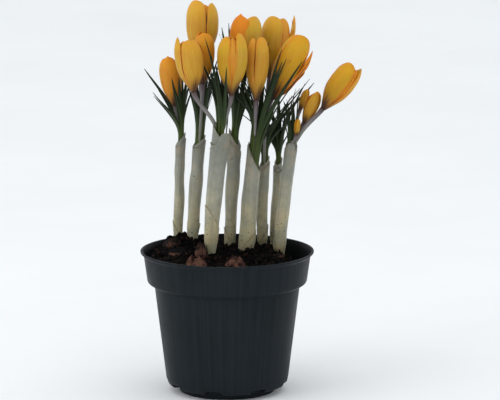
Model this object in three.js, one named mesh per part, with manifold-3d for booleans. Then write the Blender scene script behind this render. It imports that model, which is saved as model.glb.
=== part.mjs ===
// A potted garden crocus in bloom: thin plastic pot, peat, corms, papery sheaths, leaves and flowers.
// Millimetres, +Z up, origin at the middle of the pot's flat foot, -Y towards the viewer.
import * as THREE from "three";
import { mergeVertices } from "three/addons/utils/BufferGeometryUtils.js";
import Module from "manifold-3d";

const wasm = await Module();
wasm.setup();

// ---- pot ----
const POT_HEIGHT = 98.5;
const RIM_R = 60;
const LIP_DEPTH = 3.3;
const BAND_TOP_R = 57.7;
const BAND_FOOT_R = 55.3;
const BAND_FOOT_Z = 77.5;
const WALL_TOP_R = 50.3;
const WALL_TOP_Z = 74.7;
const WALL_FOOT_R = 42.4;
const WALL_FOOT_Z = 9.4;
const CORNER_R = 41.5;
const FOOT_R = 33;
const FOOT_DROP = 4.5;
const POT_SKIN = 1.2;
const POT_SIDES = 36;
const DRAIN_COUNT = 8;
const DRAIN_TURN = 32;
const DRAIN_R = 6;
const DRAIN_RING_R = 41.5;
const DRAIN_TOP_Z = 7;

// ---- general ----
const GAP = 0.3;
const SLIVER = 0.01;
const SOIL_LEVEL = 95;
const SOIL_SIDES = 18;
const SHEATH_SINK = 11;
const SHEATH_SIDES = 10;
const SHEATH_STEPS = 3;
const SHEATH_SKIN = 0.7;
const WRAP_THICK = 0.45;
const SOCKET_DEPTH = 7;
const PLUG_HEIGHT = 5;
const TUBE_ROOT_R = 0.7;
const TUBE_SIDES = 6;
const TUBE_STEPS = 5;
const LEAF_THICK = 0.8;
const LEAF_STEPS = 6;
const LEAF_TRIES = 160;
const LEAF_CLEAR = 0.35;
const PETAL_THICK = 0.7;
const PETAL_LAYER = 0.85;
const BUD_LAYER = 0.1;

// A shoot's sheath: soil point, mouth point, radii, the side its high lip is on (degrees) and the
// drop across its slanting cut; then its whorl of leaves: count, leans to the left and right,
// lean to the front and back, length.
const SHOOTS = [
  { foot: [-34.5, 35, 101], mouth: [-32.3, 33, 176], radius: [3.5, 3.4], lip: 0, drop: 9,
    leaves: { count: 6, lean: [-34, 12], depth: 14, length: [52, 62] } },
  { foot: [-24.2, 28, 102.5], mouth: [-19, 28, 175], radius: [4.2, 4.2], lip: 10, drop: 8,
    leaves: { count: 7, lean: [-14, 17], depth: 12, length: [50, 66] } },
  { foot: [-11.8, 0, 97], mouth: [-3.5, -3, 186], radius: [4.3, 5.6], lip: 110, drop: 7,
    leaves: { count: 8, lean: [-20, 10], depth: 12, length: [42, 66] } },
  { foot: [1.7, 26, 97.5], mouth: [5.5, 21, 178], radius: [4.1, 3.8], lip: 170, drop: 8,
    leaves: { count: 7, lean: [-10, 24], depth: 12, length: [48, 76] } },
  { foot: [13, 14, 96], mouth: [19.6, 11, 172], radius: [5.8, 5.2], lip: 170, drop: 19,
    leaves: { count: 9, lean: [-24, 26], depth: 14, length: [62, 84] } },
  { foot: [24, 34, 96], mouth: [26.1, 33, 159], radius: [3.8, 3.7], lip: 20, drop: 7,
    leaves: { count: 5, lean: [-16, 36], depth: 12, length: [50, 70] } },
  { foot: [33, 37, 94], mouth: [35.8, 40, 157], radius: [3.4, 3.0], lip: 60, drop: 5,
    leaves: { count: 6, lean: [-36, 22], depth: 12, length: [46, 58] } },
  { foot: [36.5, 20, 93], mouth: [44.8, 20, 171], radius: [4.3, 4.3], lip: 60, drop: 4,
    leaves: { count: 9, lean: [-16, 14], depth: 16, length: [34, 48] } },
];

// A flower: its shoot, base and tip of its axis, greatest radius, turn of its first petal
// (degrees), mouth (0 shut, 1 open) and whether it is still a bud.
const BLOOMS = [
  { shoot: 0, base: [-36.3, 32, 195.2], tip: [-41.5, 31, 229.3], radius: 6.4, turn: 278, open: 0.15 },
  { shoot: 2, base: [-22.8, -8, 211], tip: [-27.5, -11, 248.7], radius: 8.6, turn: 190, open: 0.5 },
  { shoot: 1, base: [-18, 28, 226.8], tip: [-16.7, 28, 268.9], radius: 10, turn: 225, open: 0.3 },
  { shoot: 1, base: [-16.8, 10.5, 213.8], tip: [-15, 10.5, 249.4], radius: 6.2, turn: 290, open: 0.1 },
  { shoot: 2, base: [3, -8, 209], tip: [4.2, -9, 250.5], radius: 9.2, turn: 212, open: 0.25 },
  { shoot: 3, base: [11.5, 24, 215.3], tip: [13.5, 25, 258.2], radius: 10, turn: 213, open: 0.4 },
  { shoot: 4, base: [20, 5, 203.4], tip: [21.5, 4, 246.7], radius: 6.8, turn: 193, open: 0.05 },
  { shoot: 5, base: [29.6, 38, 213.7], tip: [36, 39, 256], radius: 9.8, turn: 262, open: 0.4 },
  { shoot: 5, base: [31, 17, 202.1], tip: [52.5, 15, 246.7], radius: 8.6, turn: 280, open: 0.3 },
  { shoot: 7, base: [66.3, 16, 195.3], tip: [88.6, 15, 226.2], radius: 7.8, turn: 240, open: 0.2 },
  { shoot: 7, base: [53.2, 21.5, 184.5], tip: [63, 21.5, 205.7], radius: 4.6, turn: 260, bud: true },
  { shoot: 7, base: [50.8, 33, 192.2], tip: [55.8, 34, 205.8], radius: 2.7, turn: 20, bud: true },
  { shoot: 7, base: [47.8, 14.5, 177.2], tip: [49, 14, 187.9], radius: 2.1, turn: 60, bud: true },
];

// Corms that show at the surface: middle and radius.
const CORMS = [
  { at: [-38.5, 21, 96.4], radius: 6.2 },
  { at: [-34, 3, 92.5], radius: 6.5 },
  { at: [-17.6, -8.2, 97.5], radius: 4.4 },
  { at: [-20.4, -34, 91.5], radius: 7.5 },
  { at: [6.3, -37, 92], radius: 7.8 },
  { at: [35.5, 9.5, 90.2], radius: 4 },
];

const COLOURS = {
  pot: [0x26292c, 0.5], soil: [0x171310, 0.95], corm: [0x8a5b40, 0.8], sheath: [0xb8b496, 0.7],
  leaf: [0x2f4a26, 0.55], tube: [0xa49a98, 0.5], bloom: [0xe6a91c, 0.5],
};

// ---- small helpers ----
const vec = (x, y, z) => new THREE.Vector3(x, y, z);
const point = (list) => vec(list[0], list[1], list[2]);
const radians = (degrees) => (degrees * Math.PI) / 180;
const mix = (a, b, t) => a + (b - a) * t;
const smooth = (a, b, x) => {
  const t = Math.min(1, Math.max(0, (x - a) / (b - a)));
  return t * t * (3 - 2 * t);
};

// Seeded draws between 0 and 1.
function drawer(seed) {
  let state = seed * 7919 + 17;
  return () => {
    state = (state * 16807) % 2147483647;
    return state / 2147483647;
  };
}

// A closed skin through rings of points, all with the same count.
function loft(rings) {
  const n = rings[0].length;
  const positions = rings.flat().flatMap((p) => [p.x, p.y, p.z]);
  const faces = [];
  for (let r = 0; r < rings.length - 1; r += 1) {
    for (let i = 0; i < n; i += 1) {
      const a = r * n + i;
      const b = r * n + ((i + 1) % n);
      faces.push(a, b, b + n, a, b + n, a + n);
    }
  }
  const top = (rings.length - 1) * n;
  for (let i = 0; i + 1 < n - 1 - i; i += 1) {
    const j = n - 1 - i;
    faces.push(i, j, j - 1, top + i, top + j - 1, top + j);
    if (i + 1 < j - 1) {
      faces.push(i, j - 1, i + 1, top + i, top + i + 1, top + j - 1);
    }
  }
  const geometry = new THREE.BufferGeometry();
  geometry.setAttribute("position", new THREE.Float32BufferAttribute(positions, 3));
  geometry.setIndex(faces);
  return geometry;
}

function solid(geometry) {
  const bare = geometry.clone();
  bare.deleteAttribute("normal");
  bare.deleteAttribute("uv");
  const merged = mergeVertices(bare, 1e-4);
  const mesh = new wasm.Mesh({
    numProp: 3,
    vertProperties: Float32Array.from(merged.attributes.position.array),
    triVerts: Uint32Array.from(merged.index.array),
  });
  return new wasm.Manifold(mesh);
}

// The largest body of a solid, with loose scraps left out.
function wholeBody(shape) {
  const pieces = shape.decompose();
  const outer = pieces.filter((piece) => piece.volume() > 0);
  return outer.reduce((best, piece) => (piece.volume() > best.volume() ? piece : best));
}

// The shape as a mesh, with slivers finer than a hundredth of a millimetre merged away.
function geometryOf(shape) {
  const mesh = shape.asOriginal().simplify(SLIVER).getMesh();
  const geometry = new THREE.BufferGeometry();
  geometry.setAttribute("position", new THREE.Float32BufferAttribute(mesh.vertProperties, 3));
  geometry.setIndex(Array.from(mesh.triVerts));
  return geometry;
}

function union(shapes) {
  return shapes.reduce((sum, shape) => sum.add(shape));
}

// A cubic curve from a root, leaving along one direction and arriving along another.
function arc(root, leave, tip, arrive) {
  return new THREE.CubicBezierCurve3(root, root.clone().add(leave), tip.clone().sub(arrive), tip);
}

// Two directions square to a tangent: across (level where it can be) and out.
function across(tangent, hint) {
  const side = hint.clone().addScaledVector(tangent, -hint.dot(tangent)).normalize();
  return [side, vec(0, 0, 0).crossVectors(tangent, side)];
}

// A round column along a curve, with a radius for each step.
function column(curve, radiusAt, sides, steps, turn = 0) {
  const rings = [];
  for (let k = 0; k <= steps; k += 1) {
    const t = k / steps;
    const middle = curve.getPoint(t);
    const [u, v] = across(curve.getTangent(t), vec(1, 0, 0));
    const ring = [];
    for (let i = 0; i < sides; i += 1) {
      const a = (2 * Math.PI * i) / sides + turn;
      const r = radiusAt(t, a);
      ring.push(middle.clone().addScaledVector(u, r * Math.cos(a)).addScaledVector(v, r * Math.sin(a)));
    }
    rings.push(ring);
  }
  return loft(rings);
}

// ---- pot ----
function potProfile(skin) {
  const outer = [
    [0, 0], [FOOT_R, 0], [FOOT_R + 0.3, FOOT_DROP], [CORNER_R - 2.6, FOOT_DROP],
    [CORNER_R - 0.7, FOOT_DROP + 0.8], [CORNER_R, FOOT_DROP + 2.7],
    [WALL_FOOT_R, WALL_FOOT_Z], [WALL_TOP_R, WALL_TOP_Z - 0.8],
    [BAND_FOOT_R - 0.6, BAND_FOOT_Z - 0.8], [BAND_FOOT_R, BAND_FOOT_Z + 0.4],
    [BAND_TOP_R, POT_HEIGHT - LIP_DEPTH], [RIM_R, POT_HEIGHT - LIP_DEPTH + 0.7],
    [RIM_R, POT_HEIGHT - 0.5], [RIM_R - 0.5, POT_HEIGHT],
  ];
  const inner = [
    [RIM_R - 1.5, POT_HEIGHT], [BAND_TOP_R - skin, POT_HEIGHT - LIP_DEPTH - 0.6],
    [BAND_FOOT_R - skin, BAND_FOOT_Z + 1], [WALL_TOP_R - skin, WALL_TOP_Z + 0.4],
    [WALL_FOOT_R - skin, WALL_FOOT_Z + 0.6], [CORNER_R - skin, FOOT_DROP + skin + 2],
    [CORNER_R - 3, FOOT_DROP + skin], [FOOT_R - skin, FOOT_DROP + skin],
    [FOOT_R - skin, skin], [0, skin],
  ];
  return outer.concat(inner).map(([r, z]) => new THREE.Vector2(r, z));
}

function uprightPrism(x, y, radius, low, high, sides) {
  const prism = new THREE.CylinderGeometry(radius, radius, high - low, sides);
  prism.rotateX(Math.PI / 2);
  prism.translate(x, y, (low + high) / 2);
  return solid(prism);
}

function makePot() {
  const lathe = new THREE.LatheGeometry(potProfile(POT_SKIN), POT_SIDES);
  lathe.rotateX(Math.PI / 2);
  let pot = solid(lathe);
  for (let i = 0; i < DRAIN_COUNT; i += 1) {
    const a = radians(DRAIN_TURN) + (2 * Math.PI * i) / DRAIN_COUNT;
    const x = DRAIN_RING_R * Math.cos(a);
    const y = DRAIN_RING_R * Math.sin(a);
    pot = pot.subtract(uprightPrism(x, y, DRAIN_R, FOOT_DROP - 2, DRAIN_TOP_Z, 12));
  }
  return pot;
}

// ---- soil ----
// Height of the peat: mounded at the back left, sinking towards the right wall.
function soilHeight(x, y) {
  const mound = 7.5 * Math.exp(-((x + 28) ** 2 + (y - 28) ** 2) / (2 * 14 ** 2));
  const rise = 2.2 * Math.exp(-((x - 6) ** 2 + (y - 22) ** 2) / (2 * 16 ** 2));
  return SOIL_LEVEL + mound + rise - 8.5 * smooth(26, 52, x);
}

function makeSoil() {
  const random = drawer(5);
  const inside = POT_SKIN + GAP;
  const side = [
    [FOOT_R - inside - 0.1, inside], [FOOT_R - inside - 0.1, FOOT_DROP + inside],
    [CORNER_R - 4.2, FOOT_DROP + inside], [WALL_FOOT_R - inside - 0.2, WALL_FOOT_Z + 1.4],
    [WALL_TOP_R - inside, WALL_TOP_Z + 0.7], [BAND_FOOT_R - inside - 0.1, BAND_FOOT_Z + 1.6],
  ];
  const circle = (r, heightAt) => {
    const ring = [];
    for (let i = 0; i < SOIL_SIDES; i += 1) {
      const a = (2 * Math.PI * i) / SOIL_SIDES;
      const x = r * Math.cos(a);
      const y = r * Math.sin(a);
      ring.push(vec(x, y, heightAt(x, y)));
    }
    return ring;
  };
  const rings = side.map(([r, z]) => circle(r, () => z));
  const edge = BAND_FOOT_R - POT_SKIN + 0.2;
  rings.push(circle(edge, (x, y) => soilHeight(x, y) - 2.2));
  for (let k = 1; k <= 5; k += 1) {
    const r = edge * (1 - k / 5.6);
    rings.push(circle(r, (x, y) => soilHeight(x, y) + mix(-1.1, 1.1, random())));
  }
  return solid(loft(rings));
}

// ---- corms ----
function cormSkin(corm, seed, swell) {
  const random = drawer(seed + 40);
  const sides = 8;
  const rings = [];
  const phase = random() * 6;
  for (let k = 0; k <= 4; k += 1) {
    const lat = mix(-1.2, 1.35, k / 4);
    const ring = [];
    for (let i = 0; i < sides; i += 1) {
      const a = (2 * Math.PI * i) / sides;
      const bump = 1 + 0.06 * Math.sin(3 * a + phase) + 0.05 * Math.sin(5 * a - phase + k);
      const flat = corm.radius * bump + swell;
      const tall = corm.radius * (k === 4 ? 1.1 : 0.97) + swell;
      ring.push(vec(corm.at[0] + flat * Math.cos(lat) * Math.cos(a),
        corm.at[1] + flat * Math.cos(lat) * Math.sin(a), corm.at[2] + tall * Math.sin(lat)));
    }
    rings.push(ring);
  }
  return solid(loft(rings));
}

// ---- sheaths ----
function sheathCurve(shoot, sink) {
  const foot = point(shoot.foot);
  const mouth = point(shoot.mouth);
  const rise = mouth.clone().sub(foot).normalize();
  const start = foot.clone().addScaledVector(rise, -sink);
  const reach = mouth.z - start.z;
  return arc(start, rise.clone().lerp(vec(0, 0, 1), 0.35).multiplyScalar(reach * 0.33), mouth,
    rise.clone().lerp(vec(0, 0, 1), -0.25).multiplyScalar(reach * 0.33));
}

const sheathRadius = (shoot, t) => mix(shoot.radius[0], shoot.radius[1], smooth(0.05, 1, t));

function mouthFrame(shoot) {
  const curve = sheathCurve(shoot, SHEATH_SINK);
  return { at: curve.getPoint(1), up: curve.getTangent(1), curve };
}

// A thick slab above a slanting plane: what the cut at a sheath's mouth takes away.
function slantCut(centre, towards, low, drop, reach) {
  const lean = Math.atan2(drop, 2 * reach);
  const slab = new THREE.BoxGeometry(60, 60, 60);
  slab.translate(0, 0, 30);
  slab.rotateY(-lean);
  slab.rotateZ(radians(towards));
  slab.translate(centre.x, centre.y, centre.z + low);
  return solid(slab);
}

function sheathColumn(shoot, swell, sink) {
  const curve = sheathCurve(shoot, sink);
  return solid(column(curve, (t) => sheathRadius(shoot, t) + swell, SHEATH_SIDES, SHEATH_STEPS));
}

// The lower stretch of a curve, up to a share of its length.
class LowerPart extends THREE.Curve {
  constructor(whole, share) {
    super();
    this.whole = whole;
    this.share = share;
  }

  getPoint(t) {
    return this.whole.getPoint(t * this.share);
  }

  getTangent(t) {
    return this.whole.getTangent(t * this.share);
  }
}

// A sheath: a tapering tube round a solid heart, an older wrap about its lower half, a slanting
// mouth and the socket that its leaves stand in.
function makeSheath(shoot, index) {
  const { at, up, curve } = mouthFrame(shoot);
  const inner = sheathColumn(shoot, 0, SHEATH_SINK);
  const wrapTop = 0.44 + 0.05 * (index % 3);
  const wrapRadius = (t) => sheathRadius(shoot, t * wrapTop) + WRAP_THICK;
  const wrap = solid(column(new LowerPart(curve, wrapTop), wrapRadius, SHEATH_SIDES, 1));
  const wrapCut = slantCut(curve.getPoint(wrapTop), 200 + 47 * index, -9, 14, shoot.radius[0]);
  let body = inner.add(wrap.subtract(wrapCut));
  body = body.subtract(slantCut(at, shoot.lip, -shoot.drop / 2, shoot.drop, shoot.radius[1]));
  const deep = at.clone().addScaledVector(up, -SOCKET_DEPTH - shoot.drop);
  const socket = new THREE.LineCurve3(deep, at.clone().addScaledVector(up, 6));
  const bore = shoot.radius[1] - SHEATH_SKIN;
  return wholeBody(body.subtract(solid(column(socket, () => bore, SHEATH_SIDES, 1))));
}

// ---- flowers ----
function bloomFrame(bloom) {
  const base = point(bloom.base);
  const axis = point(bloom.tip).sub(base);
  const length = axis.length();
  axis.normalize();
  const [u, v] = across(axis, vec(1, 0, 0));
  return { base, axis, length, u, v };
}

// Radius of the cup at a height t up the flower.
function cupRadius(bloom, t) {
  const root = bloom.bud ? Math.min(1.5, bloom.radius * 0.6) : 1.9;
  const full = 0.6;
  if (t <= full) {
    return root + (bloom.radius - root) * Math.sin((Math.PI * t) / full / 2) ** 1.1;
  }
  const closing = bloom.bud ? 0.25 : mix(0.42, 1.05, bloom.open);
  const s = (t - full) / (1 - full);
  return bloom.radius * mix(1, closing, s * s);
}

// Half the width of a petal at a height t.
function petalHalf(bloom, t, wide) {
  const full = 0.6;
  const most = bloom.radius * wide;
  if (t <= full) {
    return most * mix(0.06, 1, Math.sin((Math.PI * t) / full / 2) ** 2.6);
  }
  const s = (t - full) / (1 - full);
  return most * Math.sqrt(1 - 0.96 * s * s);
}

// Six petals in two layers: how each one sits, from seeded draws.
function petalPlan(bloom, seed) {
  const random = drawer(seed + 90);
  const plan = [];
  for (let k = 0; k < 6; k += 1) {
    const outer = k % 2 === 0;
    plan.push({
      turn: radians(bloom.turn + 60 * k + mix(-5, 5, random())),
      layer: (outer ? 1 : -1) * (bloom.bud ? BUD_LAYER : PETAL_LAYER),
      reach: (outer ? 1 : 0.95) + mix(-0.045, 0.02, random()),
      wide: bloom.bud ? 0.76 : (outer ? 0.86 : 0.8),
      spread: (bloom.bud ? 0 : mix(0, 0.16, random()) * bloom.open),
    });
  }
  return plan;
}

function petalPoint(bloom, frame, petal, t, s, lift) {
  const radius = cupRadius(bloom, t);
  const tier = petal.layer * smooth(0.15, 0.36, t);
  const flare = petal.spread * bloom.radius * smooth(0.55, 1, t);
  const angle = petal.turn + (s * petalHalf(bloom, t, petal.wide)) / radius;
  const out = radius + tier + flare + lift - (petal.layer > 0 ? 0.0 : 0.25) * s * s;
  return frame.base.clone()
    .addScaledVector(frame.axis, t * frame.length * petal.reach)
    .addScaledVector(frame.u, out * Math.cos(angle))
    .addScaledVector(frame.v, out * Math.sin(angle));
}

function petalSolid(bloom, frame, petal) {
  const open = petal.layer < 0 ? [0.1, 0.42, 0.75, 1] : [0.1, 0.36, 0.6, 0.85, 1];
  const rows = bloom.bud ? [0.15, 0.42, 0.66, 0.86] : open;
  const columns = [-1, 0, 1];
  const depth = bloom.bud ? bloom.radius * 0.3 : PETAL_THICK / 2;
  const rings = rows.map((t) => {
    const outside = columns.map((s) => petalPoint(bloom, frame, petal, t, s, PETAL_THICK / 2));
    const inside = columns.map((s) => petalPoint(bloom, frame, petal, t, s, -depth));
    return outside.concat(inside.reverse());
  });
  return solid(loft(rings));
}

function cupCore(bloom, frame, from, to, steps, shrink) {
  const curve = new THREE.LineCurve3(
    frame.base.clone().addScaledVector(frame.axis, from * frame.length),
    frame.base.clone().addScaledVector(frame.axis, to * frame.length));
  const radiusAt = (t) => Math.max(0.5, cupRadius(bloom, mix(from, to, t)) - shrink * smooth(0, 0.4, t));
  return solid(column(curve, radiusAt, bloom.bud ? 6 : 8, steps));
}

function makeBloom(bloom, index) {
  const frame = bloomFrame(bloom);
  const petals = petalPlan(bloom, index);
  if (bloom.bud) {
    const core = cupCore(bloom, frame, 0, 1, 5, 0);
    const outer = petals.filter((petal) => petal.layer > 0);
    return wholeBody(union([core, ...outer.map((petal) => petalSolid(bloom, frame, petal))]));
  }
  const throat = cupCore(bloom, frame, 0, 0.2, 1, -0.55);
  return wholeBody(union([throat, ...petals.map((petal) => petalSolid(bloom, frame, petal))]));
}

// Where each tube stands in its shoot's mouth: alone in the middle, or evenly round a small ring,
// in the order in which their flowers stand round the shoot.
function tubeSeat(index) {
  const shoot = SHOOTS[BLOOMS[index].shoot];
  const { at, up } = mouthFrame(shoot);
  const [u, v] = across(up, vec(1, 0, 0));
  const seat = at.clone().addScaledVector(up, -shoot.drop - SOCKET_DEPTH + 2 * GAP);
  const mates = BLOOMS.map((bloom, i) => i).filter((i) => BLOOMS[i].shoot === BLOOMS[index].shoot);
  if (mates.length === 1) {
    return { seat, up };
  }
  const middle = mates.reduce((sum, i) => sum.add(point(BLOOMS[i].base)), vec(0, 0, 0));
  middle.multiplyScalar(1 / mates.length);
  const angleOf = (i) => {
    const away = point(BLOOMS[i].base).sub(middle);
    return Math.atan2(away.dot(v), away.dot(u));
  };
  const order = mates.sort((i, j) => angleOf(i) - angleOf(j));
  const angle = angleOf(order[0]) + (2 * Math.PI * order.indexOf(index)) / order.length;
  const ring = (TUBE_ROOT_R + 0.25) / Math.sin(Math.PI / order.length);
  seat.addScaledVector(u, ring * Math.cos(angle)).addScaledVector(v, ring * Math.sin(angle));
  return { seat, up };
}

function tubeCurve(index) {
  const frame = bloomFrame(BLOOMS[index]);
  const { seat, up } = tubeSeat(index);
  const end = frame.base.clone().addScaledVector(frame.axis, -GAP);
  const reach = end.distanceTo(seat);
  const upright = Math.min(reach * 0.6, SOCKET_DEPTH + 12);
  return arc(seat, up.clone().multiplyScalar(upright), end,
    frame.axis.clone().multiplyScalar(reach * 0.25));
}

function tubeRadius(bloom, t) {
  const top = bloom.bud ? Math.min(1.4, bloom.radius * 0.6) : 1.75;
  return mix(TUBE_ROOT_R, top, smooth(0.45, 1, t));
}

function makeTube(index) {
  const bloom = BLOOMS[index];
  return solid(column(tubeCurve(index), (t) => tubeRadius(bloom, t), TUBE_SIDES, TUBE_STEPS));
}

// ---- leaves ----
// Short thick lines that leaves stay clear of: { a, b, r, shoot, own }.
function lineGap(p, q, a, b) {
  const d1 = q.clone().sub(p);
  const d2 = b.clone().sub(a);
  const r = p.clone().sub(a);
  const aa = d1.dot(d1);
  const ee = d2.dot(d2);
  const f = d2.dot(r);
  const c = d1.dot(r);
  const bb = d1.dot(d2);
  const denom = aa * ee - bb * bb;
  const clamp = (x) => Math.min(1, Math.max(0, x));
  let s = denom > 1e-9 ? clamp((bb * f - c * ee) / denom) : 0;
  let t = (bb * s + f) / ee;
  if (t < 0 || t > 1) {
    t = clamp(t);
    s = clamp((bb * t - c) / aa);
  }
  return p.clone().addScaledVector(d1, s).distanceTo(a.clone().addScaledVector(d2, t));
}

function chain(curve, radiusAt, from, to, steps, shoot) {
  const lines = [];
  for (let k = 0; k < steps; k += 1) {
    const t0 = mix(from, to, k / steps);
    const t1 = mix(from, to, (k + 1) / steps);
    const r = Math.max(radiusAt(t0), radiusAt(t1));
    lines.push({ a: curve.getPoint(t0), b: curve.getPoint(t1), r, shoot });
  }
  return lines;
}

function standingLines() {
  const lines = [];
  SHOOTS.forEach((shoot, i) => {
    const skin = chain(sheathCurve(shoot, 0), (t) => sheathRadius(shoot, t) + 0.5, 0, 1, 5, i);
    lines.push(...skin.map((line) => ({ ...line, sheath: true })));
  });
  BLOOMS.forEach((bloom, i) => {
    const frame = bloomFrame(bloom);
    const axis = new THREE.LineCurve3(frame.base, point(bloom.tip));
    const cup = (t) => cupRadius(bloom, t) + PETAL_LAYER + PETAL_THICK / 2 + 0.2;
    lines.push(...chain(axis, cup, 0, 1, 8, -1));
    lines.push(...chain(tubeCurve(i), (t) => tubeRadius(bloom, t), 0, 1, 8, -1));
  });
  return lines;
}

const leafHalf = (leaf, t) => leaf.half * mix(0.5, 1, smooth(0.12, 0.4, t))
  * Math.min(1, mix(0.16, 1, (1 - t) / 0.5));

// A leaf stands straight in the socket up to the cut edge, and bows out from there.
class LeafCurve extends THREE.Curve {
  constructor(root, exit, bow) {
    super();
    this.inside = new THREE.LineCurve3(root, exit);
    this.bow = bow;
    this.share = 1 / LEAF_STEPS;
  }

  part(t) {
    const within = t < this.share;
    return within ? [this.inside, t / this.share] : [this.bow, (t - this.share) / (1 - this.share)];
  }

  getPoint(t) {
    const [curve, s] = this.part(t);
    return curve.getPoint(s);
  }

  getTangent(t) {
    const [curve, s] = this.part(t);
    return curve.getTangent(s);
  }
}

function leafCurve(shoot, leaf) {
  const { at, up } = mouthFrame(shoot);
  const [u, v] = across(up, vec(1, 0, 0));
  const ring = shoot.radius[1] - SHEATH_SKIN - GAP - 0.5;
  const stand = (height) => at.clone().addScaledVector(up, height)
    .addScaledVector(u, ring * Math.cos(leaf.place)).addScaledVector(v, ring * Math.sin(leaf.place));
  const root = stand(GAP + 1.5 - shoot.drop - SOCKET_DEPTH);
  const exit = stand((shoot.drop / 2) * Math.cos(leaf.place - radians(shoot.lip)));
  const leanX = radians(leaf.leanX);
  const leanY = radians(leaf.leanY);
  const aim = vec(Math.sin(leanX), Math.sin(leanY), Math.cos(leanX) * Math.cos(leanY)).normalize();
  const tip = at.clone().addScaledVector(aim, leaf.length);
  const arrive = vec(Math.sin(leanX * leaf.bow), Math.sin(leanY * leaf.bow), 1).normalize();
  const bow = arc(exit, up.clone().multiplyScalar(leaf.length * 0.34), tip,
    arrive.multiplyScalar(leaf.length * 0.3));
  return new LeafCurve(root, exit, bow);
}

// How thick a leaf counts when it is kept clear: only its blade's thickness down in the mouth.
const leafGirth = (leaf, t) => mix(0.4, leafHalf(leaf, t) * 0.7, smooth(0.1, 0.45, t));

function leafLines(curve, leaf, shootIndex) {
  return chain(curve, (t) => leafGirth(leaf, t), 0.05, 1, 10, shootIndex);
}

function leafClear(lines, mine, shootIndex) {
  return mine.every((m, k) => lines.every((line) => {
    if (line.shoot === shootIndex && (line.sheath || k < 3)) {
      return true;
    }
    return lineGap(m.a, m.b, line.a, line.b) > m.r + line.r + (k < 3 ? GAP : LEAF_CLEAR);
  }));
}

// One leaf of a whorl: it leans away from the middle, to the side it stands on.
function drawLeaf(shoot, n, attempt, random) {
  const { count, lean, depth, length } = shoot.leaves;
  const wander = 2 + attempt * 0.1;
  const stray = () => mix(-wander, wander, random());
  const place = (2 * Math.PI * (n + 0.3)) / count + radians(stray() * 3.5);
  const side = Math.cos(place);
  return {
    place,
    half: mix(1.25, 1.7, random()),
    leanX: mix(lean[0], lean[1], 0.5 + 0.5 * side) + stray(),
    leanY: depth * Math.sin(place) + stray(),
    length: mix(length[0], length[1], random()) * (1 - attempt * 0.0025),
    bow: mix(1.05, 1.6, random()),
  };
}

// Leaves placed one after another: each takes the first bend that clears what stands already.
function growLeaves() {
  const lines = standingLines();
  const grown = SHOOTS.map(() => []);
  SHOOTS.forEach((shoot, i) => {
    const random = drawer(i + 200);
    for (let n = 0; n < shoot.leaves.count; n += 1) {
      for (let attempt = 0; attempt < LEAF_TRIES; attempt += 1) {
        const leaf = drawLeaf(shoot, n, attempt, random);
        leaf.curve = leafCurve(shoot, leaf);
        const mine = leafLines(leaf.curve, leaf, i);
        if (leafClear(lines, mine, i)) {
          lines.push(...mine);
          grown[i].push(leaf);
          break;
        }
      }
    }
  });
  return grown;
}

// A keeled blade: flat on one side, ridged on the other, tapering to its tip.
function leafSolid(leaf) {
  const rings = [];
  for (let k = 0; k <= LEAF_STEPS; k += 1) {
    const t = k / LEAF_STEPS;
    const tangent = leaf.curve.getTangent(t);
    const outward = vec(Math.cos(leaf.place), Math.sin(leaf.place), 0);
    const [out, side] = across(tangent, outward);
    const middle = leaf.curve.getPoint(t);
    const half = leafHalf(leaf, t);
    const thick = LEAF_THICK / 2;
    const at = (s, o) => middle.clone().addScaledVector(side, s).addScaledVector(out, o);
    rings.push([at(-half, thick), at(half, thick), at(0, -thick)]);
  }
  return solid(loft(rings));
}

function makeLeaves(shootIndex, leaves) {
  const shoot = SHOOTS[shootIndex];
  const { at, up } = mouthFrame(shoot);
  const low = at.clone().addScaledVector(up, -shoot.drop - SOCKET_DEPTH + GAP);
  const high = low.clone().addScaledVector(up, PLUG_HEIGHT);
  const plugR = shoot.radius[1] - SHEATH_SKIN - GAP;
  let body = solid(column(new THREE.LineCurve3(low, high), () => plugR, SHEATH_SIDES, 1));
  const blades = union(leaves.map((leaf) => leafSolid(leaf)));
  body = body.add(blades);
  BLOOMS.forEach((bloom, i) => {
    if (bloom.shoot === shootIndex) {
      const swell = (t) => tubeRadius(bloom, t) + GAP + 0.1;
      body = body.subtract(solid(column(tubeCurve(i), swell, TUBE_SIDES, TUBE_STEPS)));
    }
  });
  return wholeBody(body);
}

// ---- assembly ----
function named(name, shape, kind) {
  const [colour, roughness] = COLOURS[kind];
  const material = new THREE.MeshStandardMaterial({ color: colour, roughness, metalness: 0 });
  const mesh = new THREE.Mesh(geometryOf(shape), material);
  mesh.name = name;
  return mesh;
}

function build() {
  const plant = new THREE.Group();
  plant.add(named("pot", makePot(), "pot"));
  let soil = makeSoil();
  CORMS.forEach((corm, i) => {
    plant.add(named(`corm_${i + 1}`, cormSkin(corm, i, 0), "corm"));
    soil = soil.subtract(cormSkin(corm, i, GAP + 0.1));
  });
  SHOOTS.forEach((shoot, i) => {
    plant.add(named(`sheath_${i + 1}`, makeSheath(shoot, i), "sheath"));
    soil = soil.subtract(sheathColumn(shoot, WRAP_THICK + GAP + 0.05, SHEATH_SINK + GAP));
  });
  plant.add(named("soil", wholeBody(soil), "soil"));
  BLOOMS.forEach((bloom, i) => {
    plant.add(named(`tube_${i + 1}`, makeTube(i), "tube"));
    plant.add(named(`bloom_${i + 1}`, makeBloom(bloom, i), "bloom"));
  });
  growLeaves().forEach((leaves, i) => {
    plant.add(named(`leaves_${i + 1}`, makeLeaves(i, leaves), "leaf"));
  });
  return plant;
}

export default build();
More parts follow.
